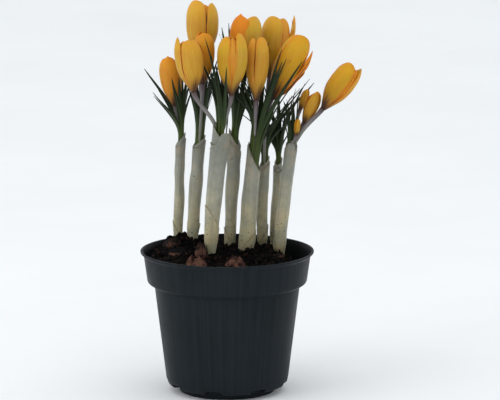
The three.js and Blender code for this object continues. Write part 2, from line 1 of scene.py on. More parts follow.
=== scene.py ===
# %% [markdown]
# # A pot of yellow crocuses
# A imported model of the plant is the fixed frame: plain solids that say where each piece stands.
# This lesson puts a finer piece on the same curves in place of each solid, and gives every piece
# a finish built from nodes. It goes from the studio to the pot, the peat, the corms, the papery
# sheaths, the leaves and at last the flowers. Curves are worked out in millimetres, as they are
# in the part's source, and turned into metres when a mesh is made.

# %% Load the frame
import math

import bmesh
import bpy
import numpy as np
from mathutils import Matrix, Vector, noise


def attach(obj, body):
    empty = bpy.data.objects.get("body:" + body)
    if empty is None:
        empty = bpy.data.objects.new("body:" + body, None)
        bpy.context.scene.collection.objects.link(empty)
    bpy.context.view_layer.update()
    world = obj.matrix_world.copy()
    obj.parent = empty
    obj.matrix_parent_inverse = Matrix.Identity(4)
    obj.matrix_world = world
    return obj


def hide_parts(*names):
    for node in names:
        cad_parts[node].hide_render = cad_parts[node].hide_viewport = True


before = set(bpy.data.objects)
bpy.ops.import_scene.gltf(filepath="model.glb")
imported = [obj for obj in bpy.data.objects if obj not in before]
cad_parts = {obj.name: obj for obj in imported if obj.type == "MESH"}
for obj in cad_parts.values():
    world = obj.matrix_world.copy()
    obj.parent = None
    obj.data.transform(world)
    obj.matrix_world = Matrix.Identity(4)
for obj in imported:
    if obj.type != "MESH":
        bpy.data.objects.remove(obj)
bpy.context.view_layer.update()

# %% Small helpers that every step uses
MM = 0.001
# The numbers of a plain random generator: its factor, its prime, and how seeds are spread.
DRAW_FACTOR, DRAW_PRIME, SEED_FACTOR, SEED_START = 16807, 2147483647, 7919, 17


def mix(a, b, t):
    return a + (b - a) * t


def smooth(a, b, x):
    t = min(1.0, max(0.0, (x - a) / (b - a)))
    return t * t * (3 - 2 * t)


def drawer(seed):
    """Seeded draws between 0 and 1, the same ones that placed the solids."""
    state = [seed * SEED_FACTOR + SEED_START]

    def draw():
        state[0] = (state[0] * DRAW_FACTOR) % DRAW_PRIME
        return state[0] / DRAW_PRIME

    return draw


def vec(x, y, z):
    return np.array((x, y, z), float)


def length_of(v):
    return math.sqrt(v @ v)


def unit(v):
    return v / length_of(v)


def around(u, v, angle):
    """The direction at an angle in the plane of u and v."""
    return math.cos(angle) * u + math.sin(angle) * v


print("first draws of seeds 1 and 2:", [round(drawer(seed)(), 3) for seed in (1, 2)])

# %% [markdown]
# ## Studio
# The plant is lit like a catalogue picture: a pale floor, a soft even sky and large soft boxes.
# Two tall boxes stand level with the pot, a little behind it, because smooth dark plastic is
# drawn mostly by what it mirrors along its sides. The camera is far away with a long lens, so
# upright stems stay parallel.

# %% Camera
AIM = Vector((0.0158, 0.0, 0.1337))
CAMERA_LIFT = math.radians(10.5)
CAMERA_AWAY = 2.5
CAMERA_LENS = 261
SENSOR = 36

camera = bpy.data.objects.new("camera", bpy.data.cameras.new("camera"))
bpy.context.scene.collection.objects.link(camera)
back = Vector((0, -math.cos(CAMERA_LIFT), math.sin(CAMERA_LIFT)))
camera.location = AIM + back * CAMERA_AWAY
camera.rotation_euler = (-back).to_track_quat("-Z", "Y").to_euler()
camera.data.lens = CAMERA_LENS
bpy.context.scene.camera = camera
print("frame is", round(SENSOR / CAMERA_LENS * CAMERA_AWAY / MM, 1), "mm wide at the pot")

# %% Sky and soft boxes
SKY_STRENGTH = 0.95


def soft_box(name, place, aim, width, height, power, colour=(1, 1, 1)):
    lamp = bpy.data.lights.new(name, "AREA")
    lamp.shape = "RECTANGLE"
    lamp.size, lamp.size_y = width, height
    lamp.energy, lamp.color = power, colour
    box = bpy.data.objects.new(name, lamp)
    box.location = place
    box.rotation_euler = (Vector(aim) - Vector(place)).to_track_quat("-Z", "Y").to_euler()
    bpy.context.scene.collection.objects.link(box)


sky = bpy.data.worlds.new("studio_sky")
sky.use_nodes = True
sky.node_tree.nodes["Background"].inputs["Color"].default_value = (0.93, 0.97, 1, 1)
sky.node_tree.nodes["Background"].inputs["Strength"].default_value = SKY_STRENGTH
bpy.context.scene.world = sky
bpy.context.scene.view_settings.view_transform = "Standard"
PLANT = (0.0, 0.0, 0.14)
soft_box("top_box", (0.1, -0.2, 1.7), PLANT, 1.6, 1.6, 2)
soft_box("key_box", (-1.3, -0.9, 0.9), PLANT, 0.9, 0.9, 5)
soft_box("left_box", (-1.1, 0.3, 0.3), PLANT, 0.4, 1.0, 0.3, (0.7, 0.82, 1))
soft_box("right_box", (1.1, 0.3, 0.3), PLANT, 0.4, 1.0, 0.3, (0.7, 0.82, 1))
print("sky", SKY_STRENGTH, "and", len(bpy.data.lights), "soft boxes")

# %% [markdown]
# ## Effects that the finishes share
# Plants and moulded plastic repeat a few effects: streaks that run along a surface, a slow
# mottle, and scattered specks. Each is one node group with a vector going in and a value coming
# out. A finish places a group with its own numbers, so nothing is drawn twice by hand.

# %% Short ways to write nodes
def rgb(red, green, blue):
    """A colour as a screen shows it, 0 to 255, turned into light."""
    def light(c):
        c /= 255
        return c / 12.92 if c < 0.04045 else ((c + 0.055) / 1.055) ** 2.4
    return light(red), light(green), light(blue), 1.0


def node(tree, kind, inputs=(), **settings):
    """A node with its settings, and with values or links in its sockets."""
    made = tree.nodes.new("ShaderNode" + kind)
    for name, value in settings.items():
        setattr(made, name, value)
    for key, value in dict(inputs).items():
        if isinstance(value, bpy.types.NodeSocket):
            tree.links.new(value, made.inputs[key])
        else:
            made.inputs[key].default_value = value
    return made


def calc(tree, operation, a, b=0.0, clamp=False):
    made = node(tree, "Math", {0: a, 1: b}, operation=operation, use_clamp=clamp)
    return made.outputs[0]


def between(tree, value, low, high, first=0.0, last=1.0):
    """Goes smoothly from first to last while the value goes from low to high."""
    return node(tree, "MapRange", {0: value, 1: low, 2: high, 3: first, 4: last},
                interpolation_type="SMOOTHSTEP").outputs[0]


def tinted(tree, share, first, second, how="MIX"):
    made = node(tree, "Mix", {0: share, 6: first, 7: second}, data_type="RGBA", blend_type=how)
    return made.outputs[2]


def wash(tree, base, mask, share, *colour):
    """Lays one more colour over a base, as far as a mask and a share let it."""
    return tinted(tree, calc(tree, "MULTIPLY", mask, share), base, rgb(*colour))


def ramp(tree, value, stops):
    """A colour for each place along a value."""
    made = node(tree, "ValToRGB", {0: value})
    band = made.color_ramp
    while len(band.elements) < len(stops):
        band.elements.new(0.5)
    for element, (place, colour) in zip(band.elements, stops):
        element.position, element.color = place, colour
    return made.outputs[0]


print("white as light:", rgb(255, 255, 255), "leaf green as light:", rgb(46, 72, 30)[:3])

# %% Groups: streaks, mottle, specks
def group(name, sockets):
    tree = bpy.data.node_groups.new(name, "ShaderNodeTree")
    for title, kind, way, start in sockets:
        socket = tree.interface.new_socket(title, in_out=way, socket_type="NodeSocket" + kind)
        if start is not None:
            socket.default_value = start
    return tree, tree.nodes.new("NodeGroupInput").outputs, tree.nodes.new("NodeGroupOutput").inputs


def streaks_group():
    tree, given, wanted = group("streaks", [
        ("Vector", "Vector", "INPUT", None), ("Across", "Float", "INPUT", 30.0),
        ("Along", "Float", "INPUT", 2.0), ("Value", "Float", "OUTPUT", None)])
    scale = node(tree, "CombineXYZ", {0: given["Across"], 1: given["Along"], 2: given["Along"]})
    place = node(tree, "VectorMath", {0: given["Vector"], 1: scale.outputs[0]},
                 operation="MULTIPLY")
    grain = node(tree, "TexNoise", {"Vector": place.outputs[0], "Scale": 1.0, "Detail": 4.0,
                                    "Roughness": 0.6})
    tree.links.new(between(tree, grain.outputs[0], 0.3, 0.7), wanted["Value"])
    return tree


def mottle_group():
    tree, given, wanted = group("mottle", [
        ("Vector", "Vector", "INPUT", None), ("Size", "Float", "INPUT", 200.0),
        ("Value", "Float", "OUTPUT", None)])
    cloud = node(tree, "TexNoise", {"Vector": given["Vector"], "Scale": given["Size"],
                                    "Detail": 5.0, "Roughness": 0.62})
    tree.links.new(between(tree, cloud.outputs[0], 0.28, 0.72), wanted["Value"])
    return tree


def specks_group():
    tree, given, wanted = group("specks", [
        ("Vector", "Vector", "INPUT", None), ("Size", "Float", "INPUT", 300.0),
        ("Reach", "Float", "INPUT", 0.2), ("Share", "Float", "INPUT", 0.3),
        ("Mask", "Float", "OUTPUT", None)])
    cells = node(tree, "TexVoronoi", {"Vector": given["Vector"], "Scale": given["Size"]})
    chosen = node(tree, "SeparateXYZ", {0: cells.outputs["Color"]}).outputs[0]
    kept = calc(tree, "LESS_THAN", chosen, given["Share"])
    near = calc(tree, "SUBTRACT", 1.0, calc(tree, "DIVIDE", cells.outputs["Distance"],
                                            given["Reach"]), clamp=True)
    tree.links.new(calc(tree, "MULTIPLY", kept, between(tree, near, 0.0, 0.5)), wanted["Mask"])
    return tree


STREAKS, MOTTLE, SPECKS = streaks_group(), mottle_group(), specks_group()


def effect(tree, which, vector, **values):
    """A shared effect in a finish, with its own values."""
    made = tree.nodes.new("ShaderNodeGroup")
    made.node_tree = which
    tree.links.new(vector, made.inputs["Vector"])
    for title, value in values.items():
        made.inputs[title].default_value = value
    return made.outputs[0]


print("groups:", [g.name for g in bpy.data.node_groups])

# %% Start and end of a finish
def finish(name, roughness, specular=0.5, coat=0.0, glow=None):
    """A new material: its tree, its shader, and object and surface coordinates."""
    material = bpy.data.materials.new(name)
    material.use_nodes = True
    tree = material.node_tree
    shader = tree.nodes["Principled BSDF"]
    shader.inputs["Roughness"].default_value = roughness
    shader.inputs["Specular IOR Level"].default_value = specular
    shader.inputs["Coat Weight"].default_value = coat
    if glow:
        shader.inputs["Subsurface Weight"].default_value = glow[0]
        shader.inputs["Subsurface Radius"].default_value = glow[1]
        shader.inputs["Subsurface Scale"].default_value = glow[2]
    place = node(tree, "TexCoord").outputs["Object"]
    along = node(tree, "UVMap", uv_map="along").outputs[0]
    return material, tree, shader, place, along


def paint(tree, shader, colour, height=None, depth=0.0002, rough=None):
    tree.links.new(colour, shader.inputs["Base Color"])
    if height is not None:
        bump = node(tree, "Bump", {"Height": height, "Distance": depth, "Strength": 1.0})
        tree.links.new(bump.outputs[0], shader.inputs["Normal"])
    if rough is not None:
        tree.links.new(rough, shader.inputs["Roughness"])


def attribute(tree, name):
    return node(tree, "Attribute", attribute_name=name, attribute_type="GEOMETRY").outputs["Fac"]


print("finishes read the map 'along' and the attributes 'tint' and 'tone'")

# %% [markdown]
# ## From operators to pieces
# Most of the plant is thin sheet: petals, leaves, papery scales. A sheet starts as a flat grid,
# which carries its own map, so that colour can follow the surface, and then each corner is moved
# to its place on the curve. Solidify gives it a skin. A rod is the same grid rolled up, welded
# along its seam and closed at both ends.

# %% Sheets and rods
def start():
    bm = bmesh.new()
    bm.loops.layers.uv.new("along")
    bm.verts.layers.float.new("tint")
    bm.verts.layers.float.new("tone")
    return bm


def mark(bm, verts, tint, tone):
    tints, tones = bm.verts.layers.float["tint"], bm.verts.layers.float["tone"]
    for vert in verts:
        vert[tints], vert[tones] = tint, tone


def sheet(bm, columns, rows, place, thick=0.0, tint=0.0, tone=0.5, roll=False):
    """A grid of faces, each corner moved to place(s, t), for s in -1..1 and t in 0..1.

    A place gives three numbers in millimetres, and may give the corner's tint as a fourth."""
    verts = bmesh.ops.create_grid(bm, x_segments=columns, y_segments=rows, size=1)["verts"]
    layer = bm.loops.layers.uv["along"]
    faces = list({face for vert in verts for face in vert.link_faces})
    for face in faces:
        for loop in face.loops:
            loop[layer].uv = ((loop.vert.co.x + 1) / 2, (loop.vert.co.y + 1) / 2)
    mark(bm, verts, tint, tone)
    tints = bm.verts.layers.float["tint"]
    for vert in verts:
        spot = place(vert.co.x, (vert.co.y + 1) / 2)
        if len(spot) == 4:
            vert[tints] = spot[3]
        vert.co = Vector(spot[:3]) * MM
    if roll:
        bmesh.ops.remove_doubles(bm, verts=verts, dist=1e-6)
        verts = [vert for vert in verts if vert.is_valid]
        rims = list({edge for vert in verts for edge in vert.link_edges if edge.is_boundary})
        bmesh.ops.holes_fill(bm, edges=rims, sides=0)
    if thick:
        bmesh.ops.solidify(bm, geom=faces, thickness=thick * MM)
    return verts


def piece(bm, name, materials, slot, *nodes, smoothed=True):
    """Turns a finished bmesh into an object that rides on the frame in place of its nodes."""
    mesh = bpy.data.meshes.new(name)
    bm.to_mesh(mesh)
    bm.free()
    for material in materials:
        mesh.materials.append(material)
    mesh.polygons.foreach_set("use_smooth", [smoothed] * len(mesh.polygons))
    made = bpy.data.objects.new(name, mesh)
    bpy.context.scene.collection.objects.link(made)
    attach(made, "root")
    if nodes:
        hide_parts(*nodes)
    mesh.calc_loop_triangles()
    print(name, len(mesh.loop_triangles), "triangles")
    return made


# %% The floor
def plain_floor():
    material, tree, shader, place, _ = finish("floor_paper", 0.9, 0.1)
    shade = effect(tree, MOTTLE, place, Size=3.0)
    paint(tree, shader, tinted(tree, shade, rgb(246, 246, 246), rgb(250, 250, 250)))
    bm = bmesh.new()
    bmesh.ops.create_grid(bm, x_segments=2, y_segments=2, size=6)
    mesh = bpy.data.meshes.new("floor")
    bm.to_mesh(mesh)
    bm.free()
    mesh.materials.append(material)
    floor = bpy.data.objects.new("floor", mesh)
    bpy.context.scene.collection.objects.link(floor)
    return floor


print("floor", round(plain_floor().dimensions.x), "m wide")

# %% [markdown]
# ## The pot
# A nursery pot is one thin injection moulding. Its outline is drawn once, as a chain of corners
# up the outside and down the inside, the corners are rounded, and the chain is spun about the
# middle. The drains are cut by taking faces out of both skins, bridging the two edges of each
# hole and rounding its top. The plastic is nearly black with a blue cast, and it keeps faint
# upright drag marks from the mould.

# %% Pot outline
POT_HEIGHT, RIM_R, LIP_DEPTH = 98.5, 60, 3.3
BAND_TOP_R, BAND_FOOT_R, BAND_FOOT_Z = 57.7, 55.3, 77.5
WALL_TOP_R, WALL_TOP_Z, WALL_FOOT_R, WALL_FOOT_Z = 50.3, 74.7, 42.4, 9.4
CORNER_R, FOOT_R, FOOT_DROP, POT_SKIN = 41.5, 33, 4.5, 1.2
DRAIN_COUNT, DRAIN_TURN, DRAIN_HALF, DRAIN_IN_R, DRAIN_TOP_Z = 8, 32, 8.6, 36.4, 7.5
POT_STEPS, CORNER_ROUND, SHARP_ROUND = 180, 2.7, 0.35
# Corners of the whole chain that are rounded, counted from the foot's middle outside.
SHARP_CORNERS = (2, 3, 11, 13, 15, 16, 17, 18)

outer_line = [(0, 0), (FOOT_R - 8, 0), (FOOT_R, 0), (FOOT_R + 0.3, FOOT_DROP),
              (DRAIN_IN_R, FOOT_DROP)]
outer_line += [(CORNER_R - CORNER_ROUND * (1 - math.sin(a)),
                FOOT_DROP + CORNER_ROUND * (1 - math.cos(a)))
               for a in (math.pi / 2 * k / 5 for k in range(6))]
outer_line += [(WALL_FOOT_R, WALL_FOOT_Z), (WALL_TOP_R, WALL_TOP_Z - 0.8),
               (BAND_FOOT_R - 0.6, BAND_FOOT_Z - 0.8), (BAND_FOOT_R, BAND_FOOT_Z + 0.4),
               (BAND_TOP_R, POT_HEIGHT - LIP_DEPTH), (RIM_R, POT_HEIGHT - 1.0),
               (RIM_R, POT_HEIGHT)]
inner_line = [(RIM_R - 1.5, POT_HEIGHT), (BAND_TOP_R - POT_SKIN, POT_HEIGHT - LIP_DEPTH - 0.6),
              (BAND_FOOT_R - POT_SKIN, BAND_FOOT_Z + 1), (WALL_TOP_R - POT_SKIN, WALL_TOP_Z + 0.4),
              (WALL_FOOT_R - POT_SKIN, WALL_FOOT_Z + 0.6), (CORNER_R - POT_SKIN, 7.7),
              (39.0, 5.9), (DRAIN_IN_R, FOOT_DROP + POT_SKIN),
              (FOOT_R - POT_SKIN, FOOT_DROP + POT_SKIN), (FOOT_R - POT_SKIN, POT_SKIN),
              (0, POT_SKIN)]
print(len(outer_line), "corners outside,", len(inner_line), "inside")


# %% Pot mesh
def turned_from(spot, middle):
    """Degrees round the pot, from -180 to 180, between a point and a notch's middle."""
    return (math.degrees(math.atan2(spot.y, spot.x)) - middle + 180) % 360 - 180


def cut_drain(bm, middle):
    """Takes out the faces of one notch, in both skins, rounds its top and walls it."""
    lost = []
    for face in bm.faces:
        spot = face.calc_center_median() / MM
        turn = turned_from(spot, middle)
        if abs(turn) < DRAIN_HALF and spot.z < DRAIN_TOP_Z and spot.xy.length > DRAIN_IN_R:
            lost.append(face)
    bmesh.ops.delete(bm, geom=lost, context="FACES")
    rims = [edge for edge in bm.edges if edge.is_boundary]
    for vert in {vert for edge in rims for vert in edge.verts}:
        turn = turned_from(vert.co, middle)
        if vert.co.z > 7 * MM:
            vert.co.z -= 1.1 * MM * abs(turn / DRAIN_HALF) ** 5
    bmesh.ops.bridge_loops(bm, edges=rims)


def pot_mesh():
    bm = start()
    chain = [bm.verts.new((r * MM, 0, z * MM)) for r, z in outer_line + inner_line]
    for first, second in zip(chain, chain[1:]):
        bm.edges.new((first, second))
    sharp = [chain[k] for k in SHARP_CORNERS]
    bmesh.ops.bevel(bm, geom=sharp, offset=SHARP_ROUND * MM, offset_type="OFFSET", segments=3,
                    profile=0.5, affect="VERTICES", material=-1)
    bmesh.ops.spin(bm, geom=bm.verts[:] + bm.edges[:], cent=(0, 0, 0), axis=(0, 0, 1),
                   angle=2 * math.pi, steps=POT_STEPS, use_merge=True)
    bmesh.ops.remove_doubles(bm, verts=bm.verts[:], dist=1e-7)
    for i in range(DRAIN_COUNT):
        cut_drain(bm, DRAIN_TURN + 360 * i / DRAIN_COUNT)
    bmesh.ops.recalc_face_normals(bm, faces=bm.faces[:])
    outer = np.array(outer_line[4:])
    # The inside is marked so that its finish paints it darker, as painted shade.
    inside = [vert for vert in bm.verts if vert.co.z > 8 * MM and vert.co.xy.length / MM
              < np.interp(vert.co.z / MM, outer[:, 1], outer[:, 0]) - 0.6]
    mark(bm, inside, 1.0, 0.0)
    return bm


# %% Pot plastic
def pot_finish():
    material, tree, shader, place, _ = finish("slate_moulding", 0.6, 0.05)
    axes = node(tree, "SeparateXYZ", {0: place}).outputs
    turn = calc(tree, "ARCTAN2", axes[1], axes[0])
    round_it = node(tree, "CombineXYZ", {0: turn, 1: axes[2]}).outputs[0]
    drag = effect(tree, STREAKS, round_it, Across=22.0, Along=6.0)
    cloud = effect(tree, MOTTLE, place, Size=26.0)
    base = tinted(tree, drag, rgb(24, 29, 32), rgb(32, 37, 40))
    base = wash(tree, base, cloud, 0.35, 37, 43, 51)
    # Painted shade: the marked inside of the pot is darkened nearly to black.
    base = wash(tree, base, attribute(tree, "tint"), 0.85, 4, 4, 6)
    grain = effect(tree, MOTTLE, place, Size=1500.0)
    height = calc(tree, "ADD", calc(tree, "MULTIPLY", drag, 0.5),
                  calc(tree, "MULTIPLY", grain, 0.3))
    paint(tree, shader, base, height, 0.00006, between(tree, cloud, 0.0, 1.0, 0.36, 0.5))
    return material


pot = piece(pot_mesh(), "moulded_pot", [pot_finish()], "pot", "pot")
pot.data.set_sharp_from_angle(angle=math.radians(50))

# %% [markdown]
# ## The peat
# Peat is nearly black, and it is all edges: lumps, crumbs and bits of root. The bulk is a rolled
# sheet with its top folded in ring by ring, raised by noise. On it lie loose crumbs, each a
# twenty-sided ball knocked out of shape, with short bent fibres and a few pale grains.

# %% Peat bulk
SOIL_LEVEL = 95
SOIL_EDGE_R = BAND_FOOT_R - POT_SKIN + 0.2
# The bulk's side, as radius and height of each row, and its rows in all.
SOIL_SIDE = [(31.2, 1.5), (31.2, 6.1), (37.3, 6.1), (40.7, 10.8), (48.9, 75.4), (53.9, 79.1)]
SOIL_ROWS, SOIL_COLUMNS = 40, 150
# Rows in which the top would fold in to its middle; the last one stops a little short of it.
SOIL_RINGS, SOIL_MIDDLE_R = 34.2, 0.35


def soil_height(x, y):
    """The solid's top: a mound at the back left, a low rise, and a slope down to the right."""
    mound = 7.5 * math.exp(-((x + 28) ** 2 + (y - 28) ** 2) / (2 * 14 ** 2))
    rise = 2.2 * math.exp(-((x - 6) ** 2 + (y - 22) ** 2) / (2 * 16 ** 2))
    return SOIL_LEVEL + mound + rise - 8.5 * smooth(26, 52, x)


def soil_top(x, y):
    """The lumpy top: slow lumps with sharper crumbling on them."""
    lumps = noise.fractal(Vector((x, y, 3.0)) / 7.5, 1.0, 2.1, 4)
    crumble = noise.turbulence(Vector((x, y, 9.0)) / 3.2, 3, False)
    near_wall = 1 - smooth(48, 54, math.hypot(x, y))
    rough = (2.2 * lumps + 1.5 * crumble) * near_wall
    return soil_height(x, y) + rough - 1.1 - 1.6 * (1 - near_wall)


def peat_place(s, t):
    angle = math.pi * s
    step = t * SOIL_ROWS
    if step < len(SOIL_SIDE) - 0.001:
        r, z = SOIL_SIDE[int(step + 0.01)]
        return r * math.cos(angle), r * math.sin(angle), z
    r = max(SOIL_MIDDLE_R, SOIL_EDGE_R * (1 - (step - len(SOIL_SIDE)) / SOIL_RINGS))
    x, y = r * math.cos(angle), r * math.sin(angle)
    return x, y, soil_top(x, y)


def peat_bulk():
    bm = start()
    sheet(bm, SOIL_COLUMNS, SOIL_ROWS, peat_place, roll=True)
    bmesh.ops.recalc_face_normals(bm, faces=bm.faces[:])
    return bm


# %% Crumbs, fibres and grains
CRUMBS, CLODS, FIBRES, GRAINS = 2500, 340, 150, 20
CRUMB_REACH, CLOD_REACH, PEAT_SEED = 53, 51, 31
# Where each shoot leaves the peat, and its radius there.
SHOOT_FEET = [((-34.5, 35, 101), 3.5), ((-24.2, 28, 102.5), 4.2), ((-11.8, 0, 97), 4.3),
              ((1.7, 26, 97.5), 4.1), ((13, 14, 96), 5.8), ((24, 34, 96), 3.8),
              ((33, 37, 94), 3.4), ((36.5, 20, 93), 4.3)]


def crumb(bm, draw, radius, tint, tone, sink=0.3, where=None):
    """One loose crumb: a ball of twenty faces, stretched and knocked out of shape."""
    angle, far = 2 * math.pi * draw(), CRUMB_REACH * math.sqrt(draw())
    x, y = where or (far * math.cos(angle), far * math.sin(angle))
    spot = Vector((x, y, soil_top(x, y) + radius * (1 - sink) * (0.2 + 0.6 * draw()))) * MM
    turn = Matrix.Rotation(6.28 * draw(), 4, (draw() - 0.5, draw() - 0.5, draw() + 0.01))
    size = Matrix.Diagonal((1, 0.6 + 0.5 * draw(), 0.5 + 0.5 * draw(), 1))
    made = bmesh.ops.create_icosphere(bm, subdivisions=1, radius=radius * MM,
                                      matrix=Matrix.Translation(spot) @ turn @ size)["verts"]
    for vert in made:
        vert.co += (vert.co - spot) * mix(-0.3, 0.35, draw())
    mark(bm, made, tint, tone)


def fibre(bm, draw):
    """A short bent root, lying on the peat."""
    angle, far = 2 * math.pi * draw(), CLOD_REACH * math.sqrt(draw())
    root = vec(far * math.cos(angle), far * math.sin(angle), 0)
    way, bend, long = 2 * math.pi * draw(), mix(-1.2, 1.2, draw()), mix(3, 9, draw())
    thin, lift = mix(0.1, 0.24, draw()), mix(0.2, 2.2, draw())

    def place(s, t):
        turn = way + bend * t
        spot = root + long * t * vec(math.cos(turn), math.sin(turn), 0)
        z = soil_top(spot[0], spot[1]) + 0.25 + lift * math.sin(math.pi * t)
        r = thin * (1.15 - t)
        return (spot[0] - math.sin(turn) * r * math.cos(math.pi * s),
                spot[1] + math.cos(turn) * r * math.cos(math.pi * s), z + r * math.sin(math.pi * s))

    sheet(bm, 4, 5, place, tint=0.55 + 0.4 * draw(), tone=draw(), roll=True)


def in_batches(bm, count, make, size=60):
    """Makes many small things in small meshes, because an operator is slow in a large one."""
    for first in range(0, count, size):
        small = start()
        for _ in range(min(size, count - first)):
            make(small)
        carrier = bpy.data.meshes.new("carrier")
        small.to_mesh(carrier)
        small.free()
        bm.from_mesh(carrier)
        bpy.data.meshes.remove(carrier)


def clod(bm, draw):
    """A bigger crumb, banked up against the foot of a shoot."""
    (x, y, _), reach = SHOOT_FEET[int(len(SHOOT_FEET) * draw() * 0.999)]
    angle, away = 2 * math.pi * draw(), reach + mix(1.2, 4.5, draw() ** 1.5)
    x, y = x + away * math.cos(angle), y + away * math.sin(angle)
    inside = min(1, CLOD_REACH / math.hypot(x, y))
    crumb(bm, draw, mix(0.8, 2.3, draw() ** 1.6), 0.4 * draw() ** 2, draw(), 0.3,
          (x * inside, y * inside))


def peat_litter():
    bm, draw = start(), drawer(PEAT_SEED)
    in_batches(bm, CLODS, lambda small: clod(small, draw))
    in_batches(bm, CRUMBS, lambda small: crumb(
        small, draw, mix(0.35, 1.75, draw() ** 2.2), 0.75 * draw() ** 3, draw()))
    in_batches(bm, FIBRES, lambda small: fibre(small, draw))
    in_batches(bm, GRAINS, lambda small: crumb(
        small, draw, mix(0.3, 0.6, draw()), 1.0, 1.0, sink=0.0))
    return bm


# %% Peat finish
def peat_finish():
    material, tree, shader, place, _ = finish("damp_peat", 0.9, 0.06)
    fleck = attribute(tree, "tint")
    tone = attribute(tree, "tone")
    cloud = effect(tree, MOTTLE, place, Size=420.0)
    fine = effect(tree, MOTTLE, place, Size=1900.0)
    base = tinted(tree, cloud, rgb(3, 3, 4), rgb(11, 9, 9))
    base = wash(tree, base, fleck, tone, 66, 48, 38)
    pale = calc(tree, "GREATER_THAN", fleck, 0.99)
    base = tinted(tree, pale, base, rgb(150, 142, 126))
    paint(tree, shader, base, fine, 0.0004, between(tree, cloud, 0.0, 1.0, 0.72, 0.95))
    return material


PEAT = peat_finish()
piece(peat_bulk(), "peat", [PEAT], "soil", "soil")
piece(peat_litter(), "peat_crumbs", [PEAT], "soil", smoothed=False)

# %% [markdown]
# ## The corms
# A crocus corm wears a tunic: a brown papery skin with coarse upright fibres, split at the top
# where the shoot came through. The body is a ball drawn out by the same bumps as its solid, with
# fine ridges. Torn strips of the tunic stand off it, each a small sheet with a ragged tip.

# %% Corm bodies and torn tunics
CORM_COLUMNS, CORM_ROWS, CORM_SEED = 72, 40, 40
STRIP_COLUMNS, STRIP_ROWS, STRIP_SKIN, STRIP_SEED = 6, 8, 0.22, 60
CORMS = [((-38.5, 21, 96.4), 6.2), ((-34, 3, 92.5), 6.5), ((-17.6, -8.2, 97.5), 4.4),
         ((-20.4, -34, 91.5), 7.5), ((6.3, -37, 92), 7.8), ((35.5, 9.5, 90.2), 4)]
# For each: how much peat dust it carries all over and on its crown, how many torn strips it has
# and how far they stand up (mm).
DUSTY = [0.55, 0.0, 0.35, 0.25, 0.15, 0.6]
BURIED = [0.8, 1.2, 0.6, 0, 0, 0.9]
STRIPS = [9, 9, 9, 9, 9, 5]
STRIP_RISE = [0.4, 0.0, 2.6, 0.9, 0.3, 0.3]


def dust_at(index, lat):
    return max(DUSTY[index], BURIED[index] * smooth(0.45, 0.8, lat))


def corm_skin(corm, phase, lat, turn, swell):
    """A point of the tunic: the solid's bumps, with fibres that run up it."""
    (x, y, z), radius = corm
    bump = 1 + 0.06 * math.sin(3 * turn + phase) + 0.05 * math.sin(5 * turn - phase + 2 * lat)
    fibres = noise.noise(Vector((7 * math.cos(turn), 7 * math.sin(turn), 0.8 * lat + phase)))
    reach = radius * bump + swell + 0.4 * fibres
    point = 0.07 * radius * smooth(0.75, 1.5, lat)
    return (x + reach * math.cos(lat) * math.cos(turn), y + reach * math.cos(lat) * math.sin(turn),
            z + (radius + swell + 0.3 * fibres) * math.sin(lat) + point)


def torn_strip(bm, index, phase, draw):
    """A torn strip of tunic that follows the corm and lifts at its ragged tip."""
    turn, low, high = 2 * math.pi * draw(), mix(-0.3, 0.5, draw()), mix(0.95, 1.45, draw())
    wide, lift, tear = mix(0.16, 0.42, draw()), mix(0.6, 2.2, draw()), 9 * draw()

    def place(s, t):
        rag = 0.16 * noise.noise(Vector((3.2 * s, tear, 0)))
        lat = mix(low, high, t) + rag * t
        narrow = wide * (1 - 0.65 * t ** 2) / max(0.3, math.cos(lat))
        x, y, z = corm_skin(CORMS[index], phase, min(lat, 1.5), turn + s * narrow,
                            0.3 + lift * t ** 2)
        return x, y, z + tall * t ** 2, dust_at(index, lat)

    tall = STRIP_RISE[index] * draw()
    sheet(bm, STRIP_COLUMNS, STRIP_ROWS, place, thick=STRIP_SKIN, tone=draw())


def corm_mesh(index):
    bm = start()
    phase = drawer(index + CORM_SEED)() * 6

    def place(s, t):
        lat = mix(-1.45, 1.53, t)
        return *corm_skin(CORMS[index], phase, lat, math.pi * s, 0), dust_at(index, lat)

    sheet(bm, CORM_COLUMNS, CORM_ROWS, place, tone=0.4, roll=True)
    draw = drawer(index + STRIP_SEED)
    for _ in range(STRIPS[index]):
        torn_strip(bm, index, phase, draw)
    return bm


# %% Tunic finish
def tunic_finish():
    material, tree, shader, place, along = finish("corm_tunic", 0.68, 0.12)
    fibres = effect(tree, STREAKS, along, Across=46.0, Along=2.5)
    cloud = effect(tree, MOTTLE, place, Size=190.0)
    base = tinted(tree, fibres, rgb(50, 30, 26), rgb(122, 80, 64))
    base = wash(tree, base, attribute(tree, "tone"), 0.4, 146, 106, 88)
    base = tinted(tree, between(tree, cloud, 0.45, 0.9), base, rgb(44, 22, 20))
    buried = calc(tree, "ADD", attribute(tree, "tint"), calc(tree, "MULTIPLY", cloud, 0.6))
    base = tinted(tree, between(tree, buried, 0.45, 1.1), base, rgb(18, 13, 13))
    soiled = effect(tree, SPECKS, place, Size=500.0, Reach=0.5, Share=0.3)
    base = wash(tree, base, soiled, 0.7, 24, 18, 15)
    paint(tree, shader, base, fibres, 0.0003)
    return material


TUNIC = tunic_finish()
for index in range(len(CORMS)):
    piece(corm_mesh(index), f"tunic_{index + 1}", [TUNIC], "corm", f"corm_{index + 1}")

# %% [markdown]
# ## Curves of the plant
# The solids hang on a few curves: one for each sheath, one for each flower's tube, and one for
# each leaf. The finer pieces need the very same curves, so this step repeats the numbers and the
# rules that placed the solids. A curve is a function of t, from 0 at its root to 1 at its tip.

# %% Shoots and flowers
GAP, SHEATH_SINK, SHEATH_SKIN, SOCKET_DEPTH = 0.3, 11, 0.7, 7
